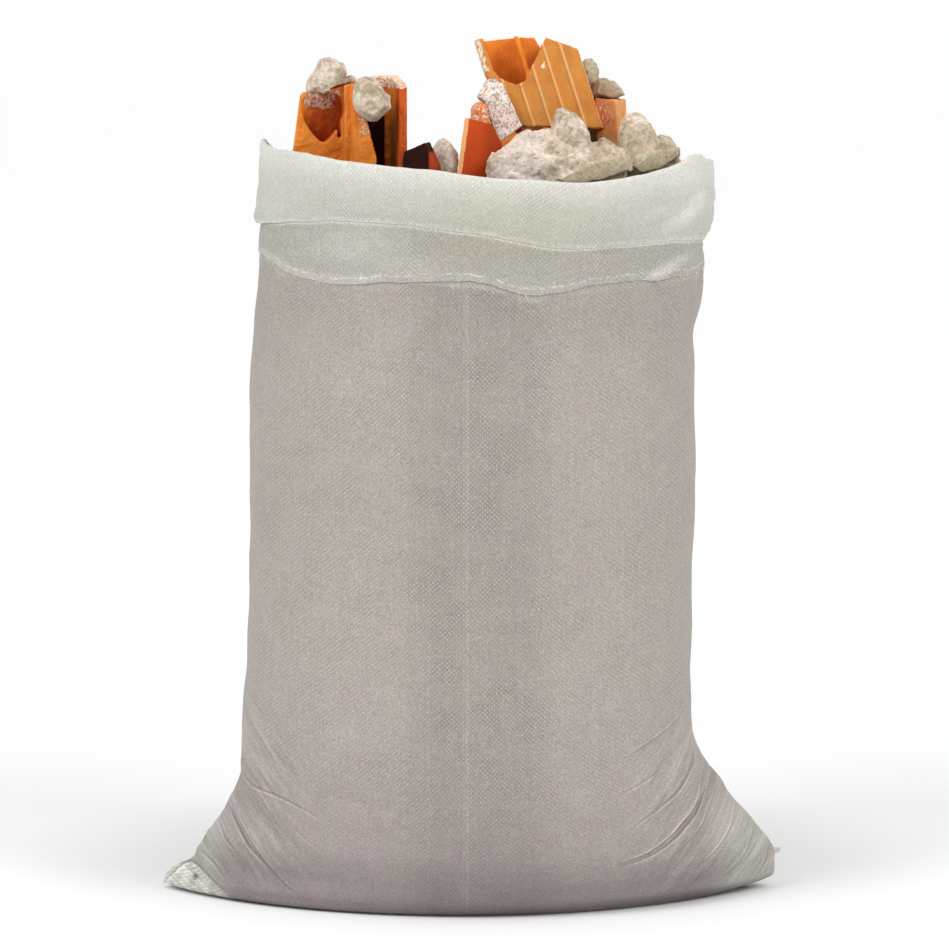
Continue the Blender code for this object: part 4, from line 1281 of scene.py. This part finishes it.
    def highlights_and_tail(self, flat, front, row):
        """The painted highlights of the cuff, and the pale tail of hem at the left bottom corner.
        """
        x, z = flat[:, 0], flat[:, 2]
        highlight = np.zeros(len(flat))
        upper = (row >= self.marks["cuff"]) & (row < self.marks["band"])
        lower = row >= self.marks["band"]
        for on_upper, at_x, at_z, long, wide, slope, amount in PAINTED_HIGHLIGHTS:
            cosine, sine = math.cos(math.radians(slope)), math.sin(math.radians(slope))
            along = (x - at_x) * cosine + (z - at_z) * sine
            across = (z - at_z) * cosine - (x - at_x) * sine
            spot = amount * np.exp(-((along / long) ** 2) - (across / wide) ** 2)
            spot *= 0.85 + 0.35 * bumps(flat, 0.0045, 33)
            highlight = np.maximum(highlight, spot * (upper if on_upper else lower) * front)
        (x0, z0), (x1, z1) = TAIL_EDGE
        beyond = ((x - x0) * (z1 - z0) - (z - z0) * (x1 - x0)) / math.hypot(x1 - x0, z1 - z0)
        tail = smooth_step(beyond, -0.0008, 0.0014) * (x < -0.232) * (row < self.marks["cuff"])
        tail *= 0.80 + 0.42 * np.cos(beyond * 2 * math.pi / 0.0050) + 0.45 * bumps(flat, 0.004, 35)
        hole = np.hypot(x - TAIL_HOLE[0], z - TAIL_HOLE[1]) + (~front)
        self.keep("hole", smooth_step(hole, 0.0036, 0.0014) * (row < self.marks["cuff"]))
        return np.maximum(highlight, tail)


def build_cloth(settings):
    shape = ClothShape(settings).build()
    rows, columns = shape.cover.shape
    bm = bmesh.new()
    bm.loops.layers.uv.new(CLOTH_UV)
    bmesh.ops.create_grid(bm, x_segments=columns - 1, y_segments=rows - 1, size=0.5, calc_uvs=True)
    mesh = to_mesh(bm)
    grid = read(mesh.vertices, "co", 3)
    column = np.rint((grid[:, 0] + 0.5) * (columns - 1)).astype(int)
    row = np.rint((grid[:, 1] + 0.5) * (rows - 1)).astype(int)
    write_places(mesh, shape.points[row, column])
    for name, values in {"cover": shape.cover, "painted_glow": shape.painted_glow, **shape.drawn}.items():
        add_attribute(mesh, name, values[row, column])
    corner = np.empty(len(mesh.loops), np.int32)
    mesh.loops.foreach_get("vertex_index", corner)
    on_cloth = np.stack((
        shape.shares[column] * settings.flat_width, shape.lengths[row, column]), axis=1)
    mesh.uv_layers[CLOTH_UV].data.foreach_set(
        "uv", on_cloth[corner].astype(np.float32).ravel())
    merge_close(mesh, 2e-6)
    return mesh, shape


def thread_mesh(lines, radius):
    """Thin round threads along lines of points, as one mesh."""
    curve = bpy.data.curves.new("threads", "CURVE")
    curve.dimensions = "3D"
    curve.bevel_depth = radius
    curve.bevel_resolution = 0
    curve.use_fill_caps = True
    for line in lines:
        spline = curve.splines.new("POLY")
        spline.points.add(len(line) - 1)
        for point, place in zip(spline.points, line):
            point.co = (*place, 1)
        for number, point in enumerate(spline.points):
            point.radius = 1.0 - 0.45 * number / (len(line) - 1)
    holder = bpy.data.objects.new("threads", curve)
    mesh = bpy.data.meshes.new_from_object(holder)
    bpy.data.objects.remove(holder)
    bpy.data.curves.remove(curve)
    merge_close(mesh, 1e-6)
    return mesh


def wandering(rng, start, heading, length, droop, wander=0.16, steps=6):
    """A thread's points from start: it wanders a little and droops."""
    here, heading = Vector(start), Vector(heading).normalized()
    line = [here.copy()]
    for _ in range(steps):
        heading += Vector([rng.gauss(0, wander) for _ in range(3)]) - Vector((0, 0, droop))
        heading.normalize()
        here = here + heading * length / steps
        line.append(here.copy())
    return line


class SACK_OT_stage(bpy.types.Operator):
    """Sets up the floor, the light and the camera"""

    bl_idname = "waste_sack.stage"
    bl_label = "Stage"

    def execute(self, context):
        settings = context.scene.waste_sack_stage
        scene = context.scene
        scene.collection.objects.link(self.floor(settings))
        scene.world = self.sky(settings)
        target = Vector(LIT_PLACE)
        powers = settings.left_power, settings.right_power, settings.top_power
        for (name, turn, climb, far, size), power in zip(LIGHTS, powers):
            lamp = bpy.data.lights.new(name, "AREA")
            lamp.energy = power
            lamp.size = size
            light = bpy.data.objects.new(name, lamp)
            level = far * math.cos(math.radians(climb))
            light.location = target + Vector((
                level * math.sin(math.radians(turn)), -level * math.cos(math.radians(turn)),
                far * math.sin(math.radians(climb))))
            light.rotation_euler = (target - light.location).to_track_quat("-Z", "Y").to_euler()
            scene.collection.objects.link(light)
        lens = bpy.data.cameras.new("photo_camera")
        lens.lens = LENS
        lens.sensor_width = SENSOR
        camera = bpy.data.objects.new("photo_camera", lens)
        camera.location = CAMERA_PLACE
        camera.rotation_euler = (math.radians(90 - CAMERA_TILT), 0, 0)
        scene.collection.objects.link(camera)
        scene.camera = camera
        scene.view_settings.view_transform = "Standard"
        return {"FINISHED"}

    def floor(self, settings):
        """A wide floor that brightens away from the sack, as a lit studio floor does."""
        bm = bmesh.new()
        bmesh.ops.create_circle(bm, cap_ends=True, segments=96, radius=FLOOR_RADIUS)
        floor = bpy.data.objects.new("studio_floor", to_mesh(bm, "studio_floor"))
        f = Finish("studio_floor")
        place = f.place()
        x, y, _ = place.split()
        far = (x * x + y * y).root()
        tone = f.noise(place, 0.5, 2.0)
        bright = far.band(0.30, 0.60, 0.0, 0.10) + far.band(0.60, 1.10, 0.0, 0.05)
        bright = bright + far.band(0.95, 2.60, 0.0, 0.33)
        f.shader.inputs["Emission Strength"].default_value = 1.0
        f.fill(f.shader.inputs["Emission Color"], f.scaled((1, 1, 1), bright))
        floor.data.materials.append(
            f.finished(f.mix(tone, settings.floor_colour, (0.90, 0.90, 0.90)), 0.8))
        return floor

    def sky(self, settings):
        """Even light all round, brightest near the horizon."""
        world = bpy.data.worlds.new("studio")
        world.use_nodes = True
        n = Nodes(world.node_tree)
        height = n.node("ShaderNodeTexCoord", output="Generated").split()[2]
        sky = world.node_tree.nodes["Background"]
        sky.inputs["Color"].default_value = (1, 1, 1, 1)
        n.fill(sky.inputs["Strength"], height.band(
            0.05, 0.40, settings.low_sky, settings.high_sky))
        return world


class SACK_OT_cloth(bpy.types.Operator):
    """Makes the sack's cloth as one sheet, with its frayed threads and seam stitches"""

    bl_idname = "waste_sack.cloth"
    bl_label = "Cloth"

    def execute(self, context):
        settings = context.scene.waste_sack_cloth
        mesh, shape = build_cloth(settings)
        cloth = add_piece(
            "sack_cloth", mesh, cloth_finish(settings), ["woven_sack"])
        trim = [self.frayed_threads(shape, settings), self.corner_threads()]
        return {"FINISHED"}

    def frayed_threads(self, shape, settings):
        """Loose ends along the raw edge."""
        rng = random.Random(3)
        edge = shape.points[-1]
        width_squared, depth_squared = 0.044, 0.0225
        lines = []
        for _ in range(settings.thread_count):
            column = rng.randrange(shape.columns)
            start = Vector(edge[column])
            out = Vector((start.x / width_squared, start.y / depth_squared, 0)).normalized()
            side = Vector((-out.y, out.x, 0)) * rng.choice((-1, 1)) * rng.uniform(0.5, 3.0)
            long = rng.choice((0.002, 0.002, 0.003, 0.003, 0.004, 0.006, 0.010))
            heading = out * 0.15 + side + Vector((0, 0, rng.uniform(-1, 0.1)))
            start += Vector((0, 0, 0.0005)) + out * 0.0003
            line = wandering(rng, start, heading, long, 0.10)
            lines.append([
                self.outside(point, out, start) for point in line])
        return add_piece(
            "raw_edge_threads", thread_mesh(lines, 0.00024), thread_finish())

    @staticmethod
    def outside(point, out, start):
        """Keeps a thread's point from sinking into the cloth behind it."""
        inward = min(0.0, (point - start).dot(out) + 0.0018)
        return point - out * inward

    def corner_threads(self):
        """The seam's cut thread ends at both bottom corners."""
        rng = random.Random(9)
        left_corner, right_corner = -0.2985, 0.2992
        lines = []
        for _ in range(26):
            rise = rng.uniform(0, 1)
            start = (right_corner, rng.uniform(-0.0012, 0.0012), 0.0325 + 0.0085 * rise)
            heading = (1, rng.uniform(-0.15, 0.15), 0.45 - 0.75 * rise)
            lines.append(wandering(rng, start, heading, rng.uniform(0.006, 0.0095), 0.0, 0.05))
        for _ in range(5):
            start = (left_corner, rng.uniform(-0.002, 0.002), rng.uniform(0.004, 0.010))
            heading = (-1, rng.uniform(-0.5, 0.5), rng.uniform(-0.4, 0.2))
            lines.append(wandering(rng, start, heading, rng.uniform(0.003, 0.005), 0.02))
        return add_piece(
            "corner_threads", thread_mesh(lines, 0.00035), bpy.data.materials["frayed_thread"])


class SACK_OT_blocks(bpy.types.Operator):
    """Breaks up the surfaces of the hollow clay block pieces"""

    bl_idname = "waste_sack.blocks"
    bl_label = "Clay blocks"

    def execute(self, context):
        settings = context.scene.waste_sack_rubble
        finish = clay_finish(settings)
        tree = tree_of(o for name, o in frame["nodes"].items() if name != "woven_sack")
        for number, node in enumerate(sorted(CLAY_PLACES)):
            mesh = self.broken_clay(node, settings, tree, 100 + 9 * number)
            add_piece(f"{node}_surface", mesh, finish, [node])
        return {"FINISHED"}

    def broken_clay(self, node, settings, tree, seed):
        voxel = settings.clay_voxel
        mesh = remeshed(node_copy(node), voxel)
        places = read(mesh.vertices, "co", 3)
        flat, normals, bulge = edges_of(mesh, places, voxel, 6)
        edge = smooth_step(neighbour_means(mesh, bulge, 3), 0.10, 0.75)
        chips = smooth_step(
            0.7 * bumps(places, 0.011, seed) + 0.5 * bumps(places, 0.0042, seed + 1), 0.10, 0.75)
        lift = -settings.chip_depth * edge * chips
        design = in_design(places, node)
        axis = "xyz".index(CLAY_PLACES[node][4])
        local_normals = in_design(places + normals, node) - design
        fracture = smooth_step(np.abs(local_normals[:, axis]), 0.55, 0.85)
        lift += (0.00010 + 0.00030 * fracture) * bumps(places, 0.0060, seed + 2)
        lift += (0.00005 + 0.00022 * fracture) * bumps(places, 0.0024, seed + 3)
        lift += 0.0005 * fracture * facets(places, 0.0075, seed + 4)
        # Where the ribs stand, which also raises them, with the painted highlights of the ribs and
        # of the centre shard's lit side.
        rib = self.lit_parts(node, design, local_normals)
        lift += 0.0005 * rib * (node == "big_block_fragment")
        crust = crust_on(node, design, places, seed + 5)
        lift += 0.0006 * crust * (0.3 + bumps(places, 0.0024, seed + 6))
        film = np.full(len(places), 0.08)
        if node == "big_block_fragment":
            film = 0.80 * smooth_step(-local_normals[:, 1], 0.3, 0.7) * (design[:, 1] < 0.006)
        # Painted shade in the hollows, by how much rubble stands round each point.
        hollow = smooth_step(enclosed(mesh, places, normals, tree, seed + 7), 0.35, 1.0)
        hollow *= HOLLOW_SHADE_SHARE.get(node, 0.8)
        if node == "left_block_fragment":
            open_wall = (design[:, 0] > WALL_START) & (design[:, 1] < 0.060)
            hollow = np.where(open_wall, np.minimum(hollow, 0.10), hollow)
            front = (design[:, 1] < 0.010) & (design[:, 0] < GAP_START)
            hollow = np.where(front, 0.5 * hollow, hollow)
        # Painted shade on the dark shard and in the left block's deepest hollows, and darker faces
        # elsewhere.
        hollow = np.maximum(hollow, self.painted_shade_parts(node, design, local_normals))
        lift += 0.0010 * (node == "small_brick_chip")
        places = places + (flat - places) * (0.35 * edge)[:, None] + normals * lift[:, None]
        write_places(mesh, places)
        if node == "back_right_block_fragment":
            edge = np.maximum(edge, 0.45)
        add_attribute(mesh, "grain", np.roll(design, 2 - axis, axis=1))
        for name, values in (
                ("edge", edge), ("rib", rib), ("crust", crust), ("hollow", hollow),
                ("film", film)):
            add_attribute(mesh, name, values)
        return mesh

    def lit_parts(self, node, design, normals):
        """Painted highlights on the ribs of the large block's face, and on the centre shard's
        broken side that faces the light at the left.
        """
        if node == "big_block_fragment":
            off = (design[:, 0] - FIRST_RIB + RIB_PITCH / 2) % RIB_PITCH - RIB_PITCH / 2
            on_face = (design[:, 1] < 0.004) & (normals[:, 1] < -0.2)
            return on_face * hill(off, 0.36 * RIB_WIDTH)
        if node == "centre_block_shard":
            return smooth_step(-normals[:, 0], 0.4, 0.8)
        return np.zeros(len(design))

    def painted_shade_parts(self, node, design, normals):
        """Painted shade over the dark shard, blackest on its left face, and in the left block's
        cell, gap and walls; a darker front on the centre shard, and an even darkening of the small
        chip.
        """
        x, y, z = design.T
        if node == "dark_block_shard":
            return 1.03 + 0.42 * smooth_step(x, 0.0085, 0.0055)
        if node == "centre_block_shard":
            return np.where(normals[:, 1] < -0.3, 0.76 + 0.25 * smooth_step(x, 0, 0.02), 0)
        if node == "small_brick_chip":
            return np.full(len(x), 0.30)
        if node == "left_block_fragment":
            in_gap, on_wall = x > GAP_START, x > WALL_START
            cell = (y > 0.011) * (x < CELL_END) * smooth_step(z, 0.104, 0.074) * 0.68
            gap = in_gap * (x < WALL_END) * smooth_step(
                y - np.where(on_wall, 0.010, 0), 0.036, 0.043)
            gap *= smooth_step(z, 0.112, 0.100) * 1.4
            side = in_gap * (x < WALL_START) * (normals[:, 0] > 0.5) * 1.4
            wall = on_wall * np.where(y < 0.006, 0.60, 0.12)
            web = (x > 0.040) * (x < 0.054) * 0.22
            return np.maximum.reduce((cell, gap, side, wall + web))
        return np.zeros(len(x))


class SACK_OT_mortar(bpy.types.Operator):
    """Roughens the mortar lumps and the plaster patch"""

    bl_idname = "waste_sack.mortar"
    bl_label = "Mortar and plaster"

    def execute(self, context):
        settings = context.scene.waste_sack_rubble
        finish = mortar_finish(settings)
        for number, node in enumerate(MORTAR_NODES):
            voxel = settings.mortar_voxel * (1 if node in PLAIN_TO_SEE else 1.5)
            mesh = self.rough_lump(node, voxel, 300 + 9 * number, 1.0)
            add_piece(f"{node}_surface", mesh, finish, [node])
        mesh = self.rough_lump("plaster_patch", 0.0011, 500, 0.55)
        add_piece(
            "plaster_patch_surface", mesh, plaster_finish(settings), ["plaster_patch"])
        return {"FINISHED"}

    def rough_lump(self, node, voxel, seed, roughness):
        mesh = remeshed(node_copy(node), voxel)
        places = read(mesh.vertices, "co", 3)
        _, normals, _ = edges_of(mesh, places, voxel, 2)
        crags = 0.0017 * facets(places, 0.0230, seed) + 0.0007 * facets(places, 0.0068, seed + 1)
        lift = neighbour_means(mesh, crags, 3)
        lift += 0.0005 * bumps(places, 0.018, seed + 2) + 0.0003 * bumps(places, 0.0030, seed + 3)
        pits = smooth_step(bumps(places, 0.0062, seed + 4), 0.50, 0.85)
        lift -= 0.0007 * pits + 0.0004
        bed = self.on_bed(node, places, normals)
        lift *= roughness * (1 - 0.75 * bed)
        deepest, highest = -0.0034, 0.0022
        places = places + normals * np.clip(lift, deepest, highest)[:, None]
        write_places(mesh, places)
        _, _, bulge = edges_of(mesh, places, voxel, 5)
        grey = GREYNESS.get(node, 0)
        edge = smooth_step(bulge, 0.0, 0.8)
        # Painted light on the centre lump, which lies in the shards' shadow.
        if node == "centre_mortar_lump":
            edge = np.maximum(edge, 0.9)
        # Pits, and painted shade where the surface is concave.
        deep = np.maximum(pits, smooth_step(-bulge, 0.15, 0.9))
        add_attribute(mesh, "edge", edge)
        add_attribute(mesh, "deep", np.maximum(deep, 0.35 * (grey == 1)))
        add_attribute(mesh, "bed", np.maximum(bed, grey))
        return mesh

    def on_bed(self, node, places, normals):
        """1 on the clean front of a mortar bed, and 0 elsewhere."""
        if node not in BEDS:
            return np.zeros(len(places))
        point, turn = BEDS[node]
        turn = math.radians(turn)
        facing = np.array((math.sin(turn), -math.cos(turn), 0))
        behind = (np.array(point) - places) @ facing
        return smooth_step(behind, 0.004, 0.0015) * smooth_step(normals @ facing, 0.5, 0.8)


class SACK_OT_filling(bpy.types.Operator):
    """Makes the heap inside the sack and strews loose stones and crumbs on it"""

    bl_idname = "waste_sack.filling"
    bl_label = "Filling"

    def execute(self, context):
        settings = context.scene.waste_sack_rubble
        add_piece("rubble_heap", self.heap(), heap_finish(), ["rubble_core"])
        self.strew(settings)
        return {"FINISHED"}

    def heap(self):
        bm = node_copy("rubble_core")
        middle = Vector((0.010, 0, 0))
        narrower, thinner, bottom, top_from, top_full = 0.965, 0.955, 0.006, 0.640, 0.662
        for v in bm.verts:
            v.co.x = middle.x + (v.co.x - middle.x) * narrower
            v.co.y *= thinner
            v.co.z = max(v.co.z, bottom)
        mesh = remeshed(bm, 0.0075)
        bm = bmesh.new()
        bm.from_mesh(mesh)
        top = [e for e in bm.edges if min(v.co.z for v in e.verts) > top_from]
        bmesh.ops.subdivide_edges(bm, edges=top, cuts=1, use_grid_fill=True)
        bmesh.ops.triangulate(bm, faces=[f for f in bm.faces if len(f.verts) > 4])
        bm.to_mesh(mesh)
        bm.free()
        places = read(mesh.vertices, "co", 3)
        upper = smooth_step(places[:, 2], top_from, top_full)
        rise = 0.0070 * bumps(places, 0.034, 701) + 0.0040 * bumps(places, 0.015, 702)
        rise += 0.0018 * bumps(places, 0.007, 703)
        places[:, 2] += upper * rise
        write_places(mesh, places)
        return mesh

    def strew(self, settings):
        """Drops stones of clay and mortar on what lies low in the mouth."""
        tree = tree_of(
            o for o in bpy.data.objects
            if o.name.endswith("_surface") or o.name == "rubble_heap")
        rng = random.Random(77)
        kinds = {"clay": [(Vector(place), 0.016) for place in GRIT], "mortar": []}
        reach_x, reach_y, highest, flattest = 0.198, 0.136, 0.712, 0.55
        tries = 0
        while sum(map(len, kinds.values())) < settings.crumb_count and tries < 6000:
            tries += 1
            turn, far = rng.uniform(0, 2 * math.pi), math.sqrt(rng.random())
            x, y = MOUTH_X + reach_x * far * math.cos(turn), reach_y * far * math.sin(turn)
            hit, normal, _, _ = tree.ray_cast(Vector((x, y, 0.9)), Vector((0, 0, -1)))
            if hit is None or hit.z > highest or normal.z < flattest:
                continue
            size = 0.0035 + 0.019 * rng.random() ** 2.6
            kinds[rng.choice(("clay", "mortar", "mortar"))].append((hit, size))
        for kind, stones in kinds.items():
            self.stones(kind, stones, rng)

    def stones(self, kind, stones, rng):
        whole = bmesh.new()
        for place, size in stones:
            bm = bmesh.new()
            detail = 1 if size < 0.0065 else 2 if size < 0.014 else 3
            bmesh.ops.create_icosphere(bm, subdivisions=detail, radius=0.5)
            flats = []
            for _ in range(7):
                normal = Vector((rng.gauss(0, 1), rng.gauss(0, 1), rng.gauss(0, 1))).normalized()
                flats.append((normal, rng.uniform(0.26, 0.42)))
            for v in bm.verts:
                for normal, distance in flats:
                    v.co -= normal * max(0.0, v.co.dot(normal) - distance)
            squash = Vector((1, rng.uniform(0.6, 1), rng.uniform(0.45, 0.9)))
            tilt = Euler((rng.uniform(-0.5, 0.5), rng.uniform(-0.5, 0.5), rng.uniform(0, 6.3)))
            here = Matrix.LocRotScale(place + Vector((0, 0, 0.14 * size)), tilt, squash * size)
            bmesh.ops.transform(bm, matrix=here, verts=bm.verts)
            part = to_mesh(bm)
            whole.from_mesh(part)
            bpy.data.meshes.remove(part)
        mesh = to_mesh(whole)
        places = read(mesh.vertices, "co", 3)
        count = len(places)
        add_attribute(mesh, "edge", 0.5 + 0.5 * bumps(places, 0.012, 820))
        if kind == "clay":
            add_attribute(mesh, "grain", places)
            for name in ("rib", "crust", "film"):
                add_attribute(mesh, name, np.zeros(count))
            # Painted shade on the stones that lie high, under the large block.
            add_attribute(mesh, "hollow", 1.05 * (places[:, 2] > 0.735))
            finish, slot = bpy.data.materials["fired_clay"], "clay_block"
        else:
            for name in ("bed", "deep"):
                add_attribute(mesh, name, np.zeros(count))
            finish, slot = bpy.data.materials["old_mortar"], "mortar"
        add_piece(f"loose_{kind}_stones", mesh, finish, smooth=False)


class SACK_PT_panel(bpy.types.Panel):
    """Lists the sack's pieces and their settings"""

    bl_idname = "SACK_PT_panel"
    bl_label = "Waste sack"
    bl_space_type = "VIEW_3D"
    bl_region_type = "UI"
    bl_category = "Waste sack"

    def draw(self, context):
        for label, group, operators in PANEL_ROWS:
            box = self.layout.box()
            box.label(text=label)
            settings = getattr(context.scene, group)
            for name in settings.__annotations__:
                box.prop(settings, name)
            for operator in operators:
                box.operator(operator)


PANEL_ROWS = (
    ("Stage", "waste_sack_stage", ("waste_sack.stage",)),
    ("Cloth", "waste_sack_cloth", ("waste_sack.cloth",)),
    ("Rubble", "waste_sack_rubble",
     ("waste_sack.blocks", "waste_sack.mortar", "waste_sack.filling")),
)
GROUPS = {
    "waste_sack_stage": StageSettings,
    "waste_sack_cloth": ClothSettings,
    "waste_sack_rubble": RubbleSettings,
}
CLASSES = (
    *GROUPS.values(), SACK_OT_stage, SACK_OT_cloth, SACK_OT_blocks, SACK_OT_mortar,
    SACK_OT_filling, SACK_PT_panel,
)


def register():
    for cls in CLASSES:
        bpy.utils.register_class(cls)
    for name, group in GROUPS.items():
        setattr(bpy.types.Scene, name, PointerProperty(type=group))


def unregister():
    for name in GROUPS:
        delattr(bpy.types.Scene, name)
    for cls in reversed(CLASSES):
        bpy.utils.unregister_class(cls)


def main():
    register()
    bpy.ops.waste_sack.stage()
    bpy.ops.waste_sack.cloth()
    bpy.ops.waste_sack.blocks()
    bpy.ops.waste_sack.mortar()
    bpy.ops.waste_sack.filling()


if __name__ == "__main__":
    main()
